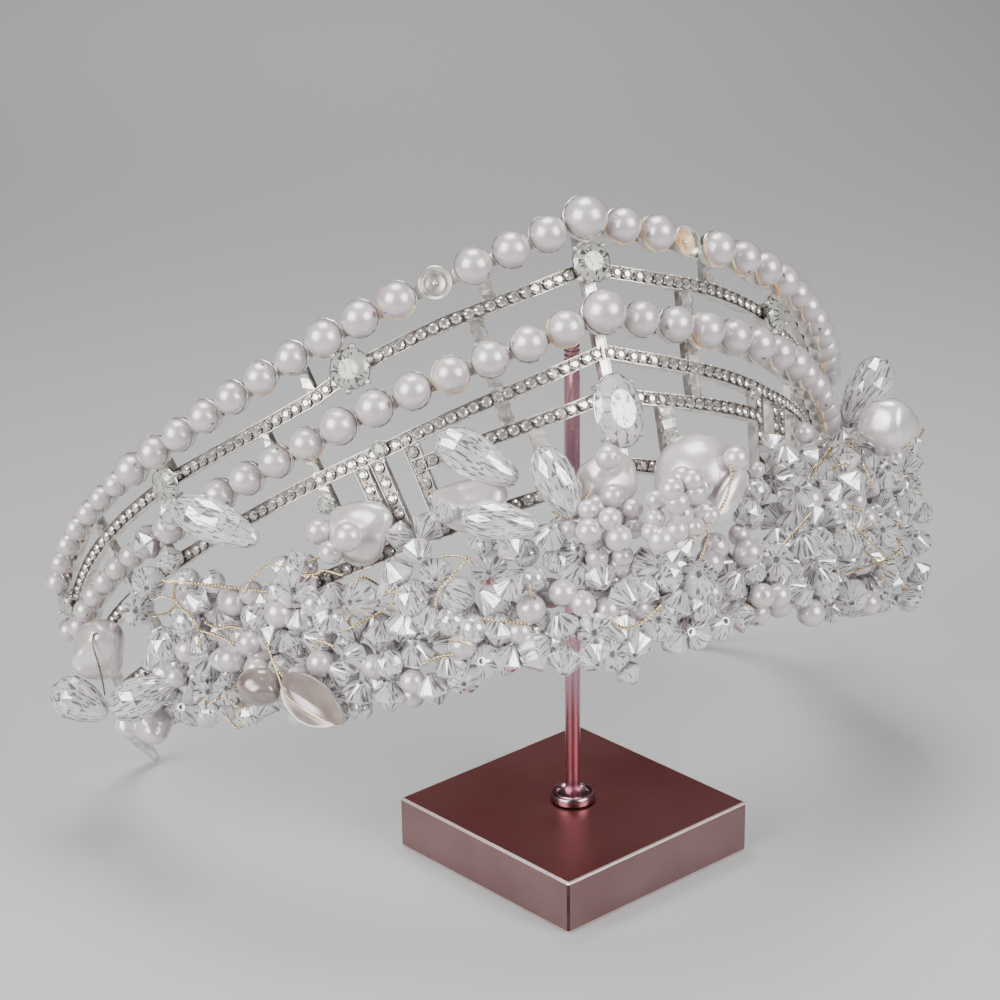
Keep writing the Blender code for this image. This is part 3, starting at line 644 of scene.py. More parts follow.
def on_sheet(across, down, spots, radius, crowd):
    """A bead's middle on the front of the sheet, or before the pearls and stones that stand on it."""
    best = min(spots, key=lambda spot: squared(spot, across, down))
    point = best[2] + best[3] * (radius - BEAD_RADIUS)
    now_across, now_down, scale = in_picture(point)
    point = point + VIEW_RIGHT * ((across - now_across) / scale) - VIEW_UP * ((down - now_down) / scale)
    for _ in range(FORWARD_STEPS):
        if crowd.has_room(point, radius, CLOSE_ON_SHEET):
            break
        point = point + VIEW_BACK * FORWARD_STEP
    return point, best[3]


def shift_to(point, across, down):
    """The sideways move that brings a point to a place of the picture."""
    now_across, now_down, scale = in_picture(point)
    return VIEW_RIGHT * ((across - now_across) / scale) - VIEW_UP * ((down - now_down) / scale)


def on_bundle(across, down, spots, sink):
    """A point that lies a depth under the bundle's face, where the picture shows it."""
    for reach in SEARCH_REACHES:
        near = [spot for spot in spots if squared(spot, across, down) < reach ** 2]
        if near:
            break
    best = max(near or spots, key=lambda spot: spot[2].dot(VIEW_BACK))
    outward = (best[2] - best[3]).normalized()
    point = best[2] - outward * sink
    shift = shift_to(point, across, down)
    if shift.length > LONGEST_SHIFT:
        shift *= LONGEST_SHIFT / shift.length
    return point + shift, outward


def against(ball, across, down, radius):
    """Middle of a small ball that touches a larger one at a place of the picture."""
    centre, size = ball
    side = shift_to(centre, across, down)
    depth = math.sqrt(max(0.0, (size + radius) ** 2 - side.length_squared))
    return centre + side + VIEW_BACK * depth


def on_leaf(seat, across, down, lift):
    """Where a place of the picture falls on a plane that lies a little before a flat pearl."""
    rays = []
    for depth in (0.0, 1.0):
        scale = FOCAL / (VIEW_DISTANCE - depth)
        rays.append(VIEW_RIGHT * ((across - PICTURE / 2) / scale - VIEW_SHIFT[0])
                    + VIEW_UP * ((PICTURE / 2 - down) / scale - VIEW_SHIFT[1]) + VIEW_BACK * depth)
    normal = seat.col[2].to_3d()
    ray = rays[1] - rays[0]
    return rays[0] + ray * ((seat.translation + normal * lift - rays[0]).dot(normal) / ray.dot(normal))


def make_camera():
    data = bpy.data.cameras.new("photo_camera")
    data.lens = LENS
    data.sensor_width = SENSOR
    data.sensor_height = SENSOR
    data.clip_start = 0.01
    data.clip_end = 20.0
    camera = bpy.data.objects.new("photo_camera", data)
    bpy.context.scene.collection.objects.link(camera)
    matrix = Matrix((VIEW_RIGHT, VIEW_UP, VIEW_BACK)).transposed().to_4x4()
    centre = -VIEW_SHIFT[0] * VIEW_RIGHT - VIEW_SHIFT[1] * VIEW_UP + VIEW_DISTANCE * VIEW_BACK
    matrix.translation = centre * MM
    camera.matrix_world = matrix
    bpy.context.scene.camera = camera


# Finishes

COLOUR = "NodeSocketColor"
NUMBER = "NodeSocketFloat"
NORMAL = "NodeSocketVector"


def open_group(name, inputs, outputs):
    """An empty shader group with its sockets."""
    group = bpy.data.node_groups.new(name, "ShaderNodeTree")
    for label, kind, value in inputs:
        socket = group.interface.new_socket(label, in_out="INPUT", socket_type=kind)
        socket.default_value = value
    for label, kind in outputs:
        group.interface.new_socket(label, in_out="OUTPUT", socket_type=kind)
    return group, group.nodes.new("NodeGroupInput"), group.nodes.new("NodeGroupOutput")


def spread_between(nodes, low, high):
    """A node that spreads the middle of a noise over the whole range."""
    spread = nodes.new("ShaderNodeMapRange")
    spread.inputs["From Min"].default_value = low
    spread.inputs["From Max"].default_value = high
    return spread


def link_up(group, rows):
    """Links the nodes of a group, a row for each link."""
    for source, output, target, entry in rows:
        group.links.new(source.outputs[output], target.inputs[entry])


def build_surface_variation():
    """Shader group: two colours in slow clouds, with fine grain in the roughness and relief."""
    group, entry, leave = open_group("surface_variation", (
        ("First Colour", COLOUR, (0.8, 0.8, 0.8, 1.0)), ("Second Colour", COLOUR, (0.7, 0.7, 0.7, 1.0)),
        ("Cloud Scale", NUMBER, 60.0), ("Grain Scale", NUMBER, 900.0), ("Low Roughness", NUMBER, 0.2),
        ("High Roughness", NUMBER, 0.4), ("Relief", NUMBER, 0.1)),
        (("Color", COLOUR), ("Roughness", NUMBER), ("Normal", NORMAL)))
    nodes = group.nodes
    place = nodes.new("ShaderNodeTexCoord")
    clouds = nodes.new("ShaderNodeTexNoise")
    clouds.inputs["Detail"].default_value = 3.0
    grain = nodes.new("ShaderNodeTexNoise")
    grain.inputs["Detail"].default_value = 2.0
    spread = spread_between(nodes, 0.35, 0.65)
    mix = nodes.new("ShaderNodeMix")
    mix.data_type = "RGBA"
    rough = nodes.new("ShaderNodeMapRange")
    bump = nodes.new("ShaderNodeBump")
    bump.inputs["Distance"].default_value = 0.0002
    link_up(group, (
        (place, "Object", clouds, "Vector"), (place, "Object", grain, "Vector"),
        (entry, "Cloud Scale", clouds, "Scale"), (entry, "Grain Scale", grain, "Scale"),
        (clouds, "Fac", spread, "Value"), (spread, "Result", mix, "Factor"),
        (entry, "First Colour", mix, "A"), (entry, "Second Colour", mix, "B"),
        (grain, "Fac", rough, "Value"), (entry, "Low Roughness", rough, "To Min"),
        (entry, "High Roughness", rough, "To Max"), (grain, "Fac", bump, "Height"),
        (entry, "Relief", bump, "Strength"), (mix, "Result", leave, "Color"),
        (rough, "Result", leave, "Roughness"), (bump, "Normal", leave, "Normal"),
    ))
    return group


def build_painted_facet_reflections():
    """Shader group: painted glints and dark reflection stripes along each facet of a cut stone, read
    from its own map.
    """
    group, entry, leave = open_group("painted_facet_reflections", (
        ("Painted Highlight Colour", COLOUR, (1.0, 1.0, 1.0, 1.0)), ("Painted Shade Colour", COLOUR, (0.5, 0.5, 0.5, 1.0)),
        ("Stripes", NUMBER, 2.0), ("Low Roughness", NUMBER, 0.0), ("High Roughness", NUMBER, 0.1)),
        (("Color", COLOUR), ("Roughness", NUMBER)))
    nodes = group.nodes
    place = nodes.new("ShaderNodeTexCoord")
    drift = nodes.new("ShaderNodeTexNoise")
    drift.inputs["Scale"].default_value = 110.0
    drift.inputs["Detail"].default_value = 0.0
    stretch = nodes.new("ShaderNodeVectorMath")
    stretch.operation = "MULTIPLY"
    stretch.inputs[1].default_value = (2.6, 0.35, 1.0)
    shift = nodes.new("ShaderNodeVectorMath")
    shift.operation = "MULTIPLY_ADD"
    shift.inputs[1].default_value = (0.0, 0.0, 4.0)
    stripes = nodes.new("ShaderNodeTexNoise")
    stripes.inputs["Detail"].default_value = 0.6
    spread = spread_between(nodes, 0.37, 0.46)
    mix = nodes.new("ShaderNodeMix")
    mix.data_type = "RGBA"
    rough = nodes.new("ShaderNodeMapRange")
    link_up(group, (
        (place, "UV", stretch, 0), (place, "Object", drift, "Vector"), (drift, "Fac", shift, 0),
        (stretch, "Vector", shift, 2), (shift, "Vector", stripes, "Vector"),
        (entry, "Stripes", stripes, "Scale"), (stripes, "Fac", spread, "Value"),
        (spread, "Result", mix, "Factor"), (entry, "Painted Shade Colour", mix, "A"),
        (entry, "Painted Highlight Colour", mix, "B"), (spread, "Result", rough, "Value"),
        (entry, "Low Roughness", rough, "To Min"), (entry, "High Roughness", rough, "To Max"),
        (mix, "Result", leave, "Color"), (rough, "Result", leave, "Roughness"),
    ))
    return group


SHEENS = {
    "nacre": {"Metallic": 0.30, "Coat Weight": 1.0, "Coat Roughness": 0.20, "Coat IOR": 1.7,
              "Specular IOR Level": 0.8},
    "plate": {"Metallic": 0.88, "Coat Weight": 0.3, "Coat Roughness": 0.2},
    "metal": {"Metallic": 1.0},
    "foil": {"Metallic": 0.75, "Coat Weight": 1.0, "Coat Roughness": 0.03},
    "resin": {"Coat Weight": 0.5, "Coat Roughness": 0.1},
    "clear": {"Metallic": 0.26, "Transmission Weight": 0.36, "IOR": 1.6, "Specular IOR Level": 1.0},
    "set": {"Metallic": 0.13, "Transmission Weight": 0.45, "IOR": 1.55, "Specular IOR Level": 0.5},
    "oval": {"Metallic": 0.20, "Transmission Weight": 0.35, "IOR": 1.5, "Specular IOR Level": 0.4},
}
CLOUDED_FINISHES = (
    # key, name, first colour, second colour, cloud scale, grain scale, roughness, relief, sheen
    ("pearl", "pearl_lustre",
     (0.60, 0.53, 0.54), (0.70, 0.63, 0.645), 260, 1500, (0.24, 0.40), 0.03, "nacre"),
    ("river_pearl", "river_pearl_lustre",
     (0.62, 0.56, 0.55), (0.80, 0.74, 0.745), 150, 700, (0.14, 0.34), 0.14, "nacre"),
    # A dark brownish copy of the nacre: painted shade for the shadowed undersides of two pearls.
    ("painted_shade_pearl", "painted_shade_pearl_lustre",
     (0.20, 0.155, 0.142), (0.31, 0.245, 0.228), 170, 700, (0.14, 0.30), 0.10, "nacre"),
    ("dark_wire", "dark_wire",
     (0.22, 0.17, 0.13), (0.34, 0.28, 0.22), 260, 1800, (0.20, 0.38), 0.05, "metal"),
    ("silver", "bright_silver",
     (0.96, 0.93, 0.89), (0.60, 0.55, 0.50), 420, 1500, (0.22, 0.46), 0.04, "plate"),
    # Darker silver, laid on the sunken floors of the deep channels and on the stone settings.
    ("bed", "dark_silver_bed",
     (0.40, 0.36, 0.32), (0.20, 0.17, 0.15), 500, 1500, (0.30, 0.5), 0.06, "plate"),
    ("white_foil", "white_foil",
     (0.95, 0.94, 0.92), (0.80, 0.80, 0.80), 300, 1800, (0.05, 0.16), 0.0, "foil"),
    ("gold", "twisted_gold_wire",
     (0.86, 0.69, 0.44), (0.52, 0.38, 0.22), 300, 1800, (0.16, 0.30), 0.05, "metal"),
    ("glue", "aged_glue",
     (0.62, 0.26, 0.07), (0.92, 0.78, 0.50), 300, 900, (0.25, 0.45), 0.10, "resin"),
    ("rod", "rose_rod",
     (0.60, 0.35, 0.42), (0.52, 0.30, 0.37), 60, 1400, (0.24, 0.36), 0.04, "metal"),
    ("collar", "rose_collar",
     (0.46, 0.27, 0.32), (0.38, 0.22, 0.26), 60, 1400, (0.16, 0.28), 0.03, "metal"),
    # The block's top is painted darker as shade and its sides lighter and greyer as painted light; its
    # chamfers carry a near-white painted highlight and its upright chamfers a near-black painted shade.
    ("block", "rose_block",
     (0.27, 0.088, 0.085), (0.34, 0.13, 0.125), 28, 2600, (0.34, 0.46), 0.08, "metal"),
    ("side", "rose_side_painted_light",
     (0.255, 0.15, 0.15), (0.29, 0.18, 0.178), 60, 3200, (0.36, 0.50), 0.12, "metal"),
    ("edge_painted_highlight", "rose_edge_painted_highlight",
     (1.0, 0.86, 0.83), (0.92, 0.76, 0.72), 300, 900, (0.30, 0.42), 0.0, "metal"),
    ("edge_painted_shade", "rose_edge_painted_shade",
     (0.08, 0.035, 0.035), (0.12, 0.06, 0.06), 300, 900, (0.30, 0.42), 0.0, "metal"),
)
# Cut stones are painted with bright and dim stripes that stand in for the glints and dark lines of
# their reflections.
FACETED_FINISHES = (
    # key, name, painted highlight colour, painted shade colour, stripes, roughness, sheen
    ("crystal", "cut_crystal", (1.0, 0.985, 0.985), (0.27, 0.24, 0.24), 2.3, (0.02, 0.09), "clear"),
    ("set_stone", "smoky_set_stone", (0.72, 0.72, 0.66), (0.13, 0.135, 0.12), 1.5, (0.06, 0.16), "set"),
    ("oval_stone", "clear_oval_stone",
     (0.90, 0.88, 0.86), (0.27, 0.26, 0.245), 1.3, (0.06, 0.18), "oval"),
    ("milky", "clear_bead", (1.0, 0.98, 0.98), (0.42, 0.39, 0.39), 0.9, (0.01, 0.05), "clear"),
    ("foil", "foiled_stone", (0.95, 0.92, 0.90), (0.26, 0.215, 0.20), 1.4, (0.05, 0.12), "foil"),
    ("dark_foil", "smoky_foil", (0.62, 0.62, 0.56), (0.16, 0.16, 0.14), 1.4, (0.05, 0.12), "foil"),
)


def make_finish(name, group, values, plain):
    """A Principled material fed by a group with its values; plain holds the shader's own values."""
    material = bpy.data.materials.new(name)
    material.use_nodes = True
    tree = material.node_tree
    shader = tree.nodes["Principled BSDF"]
    source = tree.nodes.new("ShaderNodeGroup")
    source.node_tree = GROUPS[group]
    for socket, value in values.items():
        source.inputs[socket].default_value = value
    for socket in source.outputs:
        tree.links.new(socket, shader.inputs["Base Color" if socket.name == "Color" else socket.name])
    for socket, value in plain.items():
        shader.inputs[socket].default_value = value
    return material


def make_finishes():
    """Every finish of the crown and its stand."""
    finishes = {}
    for key, name, first, second, clouds, grain, rough, relief, sheen in CLOUDED_FINISHES:
        finishes[key] = make_finish(name, "surface", {
            "First Colour": (*first, 1.0), "Second Colour": (*second, 1.0), "Cloud Scale": clouds,
            "Grain Scale": grain, "Low Roughness": rough[0], "High Roughness": rough[1],
            "Relief": relief}, SHEENS[sheen])
    for key, name, bright, dim, stripes, rough, sheen in FACETED_FINISHES:
        finishes[key] = make_finish(name, "facets", {
            "Painted Highlight Colour": (*bright, 1.0), "Painted Shade Colour": (*dim, 1.0), "Stripes": stripes,
            "Low Roughness": rough[0], "High Roughness": rough[1]}, SHEENS[sheen])
    return finishes


# Bench work: pieces are modelled at the origin, one unit to the millimetre

def clear_choice():
    bpy.ops.object.select_all(action="DESELECT")


def choose(thing):
    clear_choice()
    thing.select_set(True)
    bpy.context.view_layer.objects.active = thing


def open_for_editing(thing):
    choose(thing)
    bpy.ops.object.mode_set(mode="EDIT")
    bpy.ops.mesh.select_mode(type="VERT")
    bpy.ops.mesh.select_all(action="SELECT")


def close_editing():
    bpy.ops.mesh.select_all(action="SELECT")
    bpy.ops.mesh.normals_make_consistent(inside=False)
    bpy.ops.object.mode_set(mode="OBJECT")


def turn_up(name, rings, sides, finish, smooth=None, stretch=(1.0, 1.0)):
    """A piece drawn up ring by ring: each row gives a radius, a height and a turn in half steps."""
    clear_choice()
    radius, level, turn = rings[0]
    bpy.ops.mesh.primitive_circle_add(vertices=sides, radius=radius, fill_type="NGON",
                                      location=(0, 0, level))
    thing = bpy.context.object
    thing.name = name
    bpy.ops.object.transform_apply()
    open_for_editing(thing)
    for following in rings[1:]:
        rise = following[1] - level
        growth = following[0] / radius
        bpy.ops.mesh.extrude_region_move(TRANSFORM_OT_translate={"value": (0, 0, rise)})
        bpy.ops.transform.resize(value=(growth, growth, 1), center_override=(0, 0, 0))
        if following[2] != turn:
            angle = math.pi / sides * (following[2] - turn)
            bpy.ops.transform.rotate(value=angle, orient_axis="Z", center_override=(0, 0, 0))
        radius, level, turn = following
    bpy.ops.mesh.select_all(action="SELECT")
    bpy.ops.transform.resize(value=(stretch[0], stretch[1], 1), center_override=(0, 0, 0))
    if any(ring[2] for ring in rings):
        bpy.ops.mesh.quads_convert_to_tris(quad_method="SHORTEST_DIAGONAL")
    close_editing()
    thing.data.materials.append(FINISH[finish])
    if smooth:
        bpy.ops.object.shade_smooth_by_angle(angle=math.radians(smooth))
    return thing


def map_facets(thing, reach=1.0):
    """Gives a cut piece a map that runs round it and along it, apart for each facet."""
    mesh = thing.data
    chart = mesh.uv_layers.active or mesh.uv_layers.new(name="UVMap")
    for face in mesh.polygons:
        middle = math.atan2(face.center.y, face.center.x)
        for corner in face.loop_indices:
            x, y, z = mesh.vertices[mesh.loops[corner].vertex_index].co
            turn = math.atan2(y, x)
            turn += math.tau * round((middle - turn) / math.tau)
            chart.data[corner].uv = ((turn - middle) * 1.3 + face.index * 7.31, z / reach)


def bore_ends(thing, reach, thickness, sink):
    """Sinks a thread hole into both ends of a bead."""
    choose(thing)
    bpy.ops.object.mode_set(mode="EDIT")
    for end in (1, -1):
        bpy.ops.mesh.select_all(action="DESELECT")
        bpy.ops.object.mode_set(mode="OBJECT")
        for face in thing.data.polygons:
            face.select = face.center.z * end > reach
        bpy.ops.object.mode_set(mode="EDIT")
        bpy.ops.mesh.select_mode(type="FACE")
        bpy.ops.mesh.inset(thickness=thickness)
        bpy.ops.mesh.extrude_region_move(TRANSFORM_OT_translate={"value": (0, 0, -end * sink)})
    bpy.ops.object.mode_set(mode="OBJECT")


def round_bead(name, finish, segments, rings):
    """A round bead of radius one with small thread holes at its poles."""
    clear_choice()
    bpy.ops.mesh.primitive_uv_sphere_add(segments=segments, ring_count=rings, radius=1.0)
    bead = bpy.context.object
    bead.name = name
    bore_ends(bead, math.cos(math.pi / rings * 0.9), 0.03, 0.14)
    bead.data.materials.append(FINISH[finish])
    choose(bead)
    bpy.ops.object.shade_smooth_by_angle(angle=math.radians(50))
    return bead


def join_up(pieces, name):
    """Joins pieces into one whose place is in its mesh."""
    clear_choice()
    for piece in pieces:
        piece.select_set(True)
    bpy.context.view_layer.objects.active = pieces[0]
    if len(pieces) > 1:
        bpy.ops.object.join()
    joined = bpy.context.view_layer.objects.active
    bpy.ops.object.transform_apply()
    joined.name = name
    joined.data.name = name
    return joined


def copies_of(master, places):
    """Copies of a bench piece, each with its own mesh, at places in millimetres."""
    twins = []
    for place in places:
        twin = bpy.data.objects.new(master.name, master.data.copy())
        twin.matrix_world = Matrix.Scale(MM, 4) @ place
        bpy.context.scene.collection.objects.link(twin)
        twins.append(twin)
    return twins


def set_out(master, places, name):
    """Sets out a bench piece that isn't needed again, joined into one."""
    pieces = copies_of(master, places)
    bpy.data.objects.remove(master)
    return join_up(pieces, name)


def hand_over(piece, slot, *nodes):
    """A finished piece rides on the crown and stands for its nodes."""
    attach(piece, "root")
    if nodes:
        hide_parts(*nodes)
    return piece


def scaled(amount):
    return Matrix.Scale(amount, 4)


def turned(angle, axis):
    return Matrix.Rotation(angle, 4, axis)


def moved(x, y, z):
    return Matrix.Translation((x, y, z))


def make_masters():
    """The beads, stones and settings that repeat."""
    masters = {
        "pearl": round_bead("pearl_master", "pearl", 28, 16),
        "small_pearl": round_bead("small_pearl_master", "pearl", 18, 12),
        "clear": round_bead("clear_master", "milky", 18, 12),
    }
    bicone = ((0.25, -0.86, 0), (0.97, -0.07, 1), (0.97, 0.07, 1), (0.25, 0.86, 0))
    masters["bicone"] = turn_up("bicone_master", bicone, 8, "crystal")
    bore_ends(masters["bicone"], 0.84, 0.07, 0.3)
    cut_round = ((0.3, -0.84, 0), (0.80, -0.54, 1), (1.0, 0.0, 0), (0.80, 0.54, 1), (0.3, 0.84, 0))
    masters["cut_round"] = turn_up("cut_round_master", cut_round, 8, "crystal")
    bore_ends(masters["cut_round"], 0.82, 0.08, 0.3)
    small_stone = ((0.82, -0.2, 0), (0.90, 0.08, 0), (0.46, 0.40, 1))
    masters["small_stone"] = turn_up("small_stone_master", small_stone, 8, "foil")
    setting = ((0.98, -0.5, 0), (1.0, 0.12, 0), (0.95, 0.20, 0), (0.88, 0.10, 0), (0.84, -0.3, 0))
    masters["setting"] = turn_up("setting_master", setting, 8, "bed")
    grain = ((0.9, -0.5, 0), (1.0, 0.2, 1), (0.4, 0.9, 0))
    masters["grain"] = turn_up("grain_master", grain, 5, "silver")
    brilliant = ((0.12, -0.78, 0), (0.98, -0.03, 1), (1.0, 0.03, 1), (0.80, 0.22, 0), (0.50, 0.36, 1))
    masters["brilliant"] = turn_up("brilliant_master", brilliant, 12, "set_stone")
    foil_cup = ((0.10, -0.86, 0), (1.03, -0.06, 1), (1.05, 0.04, 1), (1.0, 0.06, 1), (0.99, -0.06, 1),
                (0.10, -0.80, 0))
    masters["foil_cup"] = turn_up("foil_cup_master", foil_cup, 12, "dark_foil")
    cup = ((0.3, 0.0, 0), (0.72, 0.10, 0), (1.0, 0.5, 0), (1.07, 0.88, 0), (1.03, 0.93, 0),
           (0.99, 0.86, 0), (0.90, 0.5, 0), (0.1, 0.2, 0))
    masters["cup"] = turn_up("pearl_cup_master", cup, 14, "silver", 30)
    prong = ((0.46, 0.0, 0), (0.34, 2.3, 0), (0.36, 2.7, 0), (0.60, 2.95, 0), (0.70, 3.35, 0),
             (0.56, 3.75, 0), (0.22, 3.98, 0))
    masters["prong"] = turn_up("ball_prong_master", prong, 8, "silver", 40)
    for name in ("bicone", "cut_round", "small_stone", "brilliant", "foil_cup", "clear"):
        map_facets(masters[name])
    return masters


# Frame

def wrap(thing, placing):
    """Bends a flat bench piece onto the crown: each vertex goes where placing says."""
    for vert in thing.data.vertices:
        vert.co = placing(*vert.co) * MM
    thing.data.update()


def flat_channel(length, half, pieces, depth, lip, sink):
    """A straight channel lying along X from 0 to length, its stones' bed sunk between two lips."""
    clear_choice()
    bpy.ops.mesh.primitive_cube_add(size=1, location=(length / 2, 0, depth / 2),
                                    scale=(length, half * 2, depth))
    bar = bpy.context.object
    bpy.ops.object.transform_apply()
    bpy.ops.object.mode_set(mode="EDIT")
    bpy.ops.mesh.select_all(action="DESELECT")
    bpy.ops.object.mode_set(mode="OBJECT")
    for face in bar.data.polygons:
        face.select = face.normal.z > FACING_UP
    bpy.ops.object.mode_set(mode="EDIT")
    bpy.ops.mesh.select_mode(type="FACE")
    bpy.ops.mesh.inset(thickness=lip)
    bpy.ops.mesh.extrude_region_move(TRANSFORM_OT_translate={"value": (0, 0, -sink)})
    bar.data.materials.append(FINISH["silver"])
    # The sunken floor of a deep channel takes the darker silver.
    if sink > SHALLOW:
        bar.data.materials.append(FINISH["bed"])
        bar.active_material_index = 1
        bpy.ops.object.material_slot_assign()
    for step in range(1, pieces):
        bpy.ops.mesh.select_all(action="SELECT")
        bpy.ops.mesh.bisect(plane_co=(length * step / pieces, 0, 0), plane_no=(1, 0, 0))
    close_editing()
    return bar


def channel_rail(rail, side, reach):
    """One half rail, bent from a straight channel."""
    pieces = max(6, int(reach / CHANNEL_PIECE))
    bar = flat_channel(reach, 1.0, pieces, CHANNEL_DEPTH, CHANNEL_LIP, CHANNEL_SINK)

    def placing(x, y, z):
        along = side * max(x, 0.02)
        return spot(along, rail_height(along, rail) + y * rail_half(along), SHEET_FACE + ON_SHEET + z)
    wrap(bar, placing)
    return bar


def rail_places(rail, side, reach, pitch, diameter):
    """Stones at even spaces along a half rail."""
    places = []
    walked = pitch / 2
    previous = spot(0.0, rail_height(0.0, rail))
    length = 0.0
    along = 0.0
    while along < reach:
        along += RAIL_STEP
        point = spot(side * along, rail_height(side * along, rail))
        length += (point - previous).length
        previous = point
        if length >= walked:
            seat = facing(side * along, rail_height(along, rail), STONE_LEVEL)
            places.append(seat @ scaled(diameter / 2 * rail_half(along) / (RAIL_WIDTH / 2)))
            walked += pitch
    return places


def upright_bar(middle, width, low, high, depth, lip, sink, lumps=0.0):
    """An upright between two rails, modelled flat and bent onto the sheet, uneven by its lumps."""
    start = rail_height(middle, low) + rail_half(middle) - BAR_OVERLAP
    end = rail_height(middle, high) - rail_half(middle) + BAR_OVERLAP
    length = end - start
    pieces = max(6, int(length / BAR_PIECE)) if lumps else 6
    bar = flat_channel(length, width / 2, pieces, depth, lip, sink)

    def placing(x, y, z):
        swell = lumps * math.sin(BAR_WAVE * x + middle)
        waist = 1.0 - BAR_WAIST * math.sin(math.pi * x / length) + swell
        out = SHEET_FACE + ON_SHEET + z * (1.0 + BAR_SWELL * swell)
        return spot(middle - y * waist, start + x, out)
    wrap(bar, placing)
    return bar, start, end


def set_stones(seats):
    """Stones, their settings and the metal grains that hold them, for places scaled to a stone."""
    stones = copies_of(MASTER["small_stone"], seats)
    metal = copies_of(MASTER["setting"], seats)
    grains = []
    for seat in seats:
        for side in (-1, 1):
            grains.append(seat @ moved(GRAIN_PLACE[0], side * GRAIN_PLACE[1], GRAIN_PLACE[2])
                          @ scaled(GRAIN_SIZE))
    return stones, metal + copies_of(MASTER["grain"], grains)


def build_rails():
    """Channel rails with their stones, stoned bars and plain uprights."""
    metal = []
    seats = []
    for rail, reach, pitch, diameter in STONED_RAILS:
        for side in (-1, 1):
            metal.append(channel_rail(rail, side, reach))
            seats += rail_places(rail, side, reach, pitch, diameter)
    for start, width, low, high in STONED_BARS:
        for side in (-1, 1):
            middle = side * (start + width / 2)
            bar, foot, head = upright_bar(middle, width, low, high, CHANNEL_DEPTH, CHANNEL_LIP,
                                          CHANNEL_SINK)
            metal.append(bar)
            count = max(2, round((head - foot) / BAR_PITCH))
            for number in range(count):
                height = foot + (head - foot) * (number + 0.5) / count
                seat = facing(middle, height, STONE_LEVEL)
                seats.append(seat @ turned(math.pi / 2, "Z") @ scaled(BAR_STONE / 2))
    for left, right, width, low, high in PLAIN_BARS:
        for middle in (-left - width / 2, right + width / 2):
            metal.append(upright_bar(middle, width, low, high, PLAIN_BAR_DEPTH, PLAIN_LIP,
                                     PLAIN_SINK, PLAIN_LUMPS)[0])
    metal.append(upright_bar(0.0, CENTRE_BAR * 2, BAND, TOP_STRIP, PLAIN_BAR_DEPTH, CENTRE_LIP,
                             CENTRE_SINK)[0])
    stones, settings = set_stones(seats)
    hand_over(join_up(metal, "channel_rails"), "frame_metal")
    hand_over(join_up(settings, "rail_settings"), "frame_metal")
    hand_over(join_up(stones, "rail_stones"), "crystal")


# Pearl rows

def row_path(side, step):
    """A function from the length of a half row to its place along the crown."""
    sign = -1.0 if side == "left" else 1.0

    def point_at(along):
        return spot(sign * along, row_height(along, step))
    lengths = [0.0]
    for along in range(1, int(HALF_LENGTH) + 12):
        lengths.append(lengths[-1] + (point_at(along) - point_at(along - 1)).length)

    def along_at(length):
        for along, (start, end) in enumerate(zip(lengths, lengths[1:])):
            if length <= end:
                return sign * (along + (length - start) / (end - start))
        return sign * (len(lengths) - 1)
    return along_at


def half_row():
    """Each pearl of a half row: its distance from the peak pearl and its diameter."""
    pearls = []
    distance = PEAK_SPACE
    spacing = None
    for count, diameter, space in PEARL_RUNS:
        for _ in range(count):
            if spacing is not None:
                distance += (spacing + space) / 2
            pearls.append((distance, diameter))
            spacing = space
    return pearls


def lay_pearl(along, step, diameter, turn):
    """Places of a pearl and of its cup on the strip behind it."""
    radius = diameter / 2
    middle = facing(along, row_height(along, step), SHEET_FACE + GAP + radius)
    middle.translation = keep_inside(middle.translation, radius)
    pearl = middle @ turned(turn, "Z") @ turned(PEARL_TILT, "X") @ scaled(radius)
    cup = facing(along, row_height(along, step), SHEET_FACE + CUP_LIFT) @ scaled(radius)
    return pearl, cup


def build_pearl_rows():
    """Both rows of large pearls in their cups, with the glue that shows round some of them."""
    for row, step in (("upper", 1.0), ("lower", 0.0)):
        cups = []
        glue = []
        for side in ("left", "right"):
            pearls = []
            along_at = row_path(side, step)
            for number, (distance, diameter) in enumerate(half_row(), start=1):
                if row == "upper" and number == MISSING_PEARLS[side]:
                    continue
                pearl, cup = lay_pearl(along_at(distance), step, diameter, number * PEARL_TURN)
                pearls.append(pearl)
                cups.append(cup)
                if number in GLUED_PEARLS[f"{row}_{side}"]:
                    glue.append((cup, number))
            string = join_up(copies_of(MASTER["pearl"], pearls), f"{row}_pearls_{side}_beads")
            hand_over(string, "pearl", f"{row}_pearls_{side}")
        peak, peak_cup = lay_pearl(0.0, step, PEAK_DIAMETER, PEAK_TURN)
        cups.append(peak_cup)
        bead = join_up(copies_of(MASTER["pearl"], [peak]), f"{row}_peak_bead")
        hand_over(bead, "pearl", f"{row}_peak_pearl")
        hand_over(join_up(copies_of(MASTER["cup"], cups), f"{row}_pearl_cups"), "cup_metal")
        blobs = [glue_blob(cup, number) for cup, number in glue]
        hand_over(join_up(blobs, f"{row}_row_glue"), "cup_metal")
    for side, number in MISSING_PEARLS.items():
        distance = half_row()[number - 1][0]
        build_empty_cup(side, row_path(side, 1.0)(distance))


def glue_blob(cup, number):
    """A crescent of old glue squeezed out between a pearl and its cup."""
    clear_choice()
    bpy.ops.mesh.primitive_torus_add(major_segments=20, minor_segments=6,
                                     major_radius=GLUE_RING, minor_radius=GLUE_THICKNESS)
    blob = bpy.context.object
    bpy.ops.object.mode_set(mode="EDIT")
    bpy.ops.mesh.select_all(action="SELECT")
    bpy.ops.mesh.bisect(plane_co=(0.25, 0, 0), plane_no=(1, 0.1, 0), clear_outer=True, use_fill=True)
    close_editing()
    for vert in blob.data.vertices:
        swell = 1.0 + 0.45 * math.sin(4.0 * vert.co.y + number)
        vert.co.z = GLUE_LEVEL + vert.co.z * swell
    blob.data.materials.append(FINISH["glue"])
    bpy.ops.object.shade_smooth()
    blob.matrix_world = scaled(MM) @ cup @ turned(0.6 + 0.5 * math.sin(number * 1.7), "Z")
    return blob


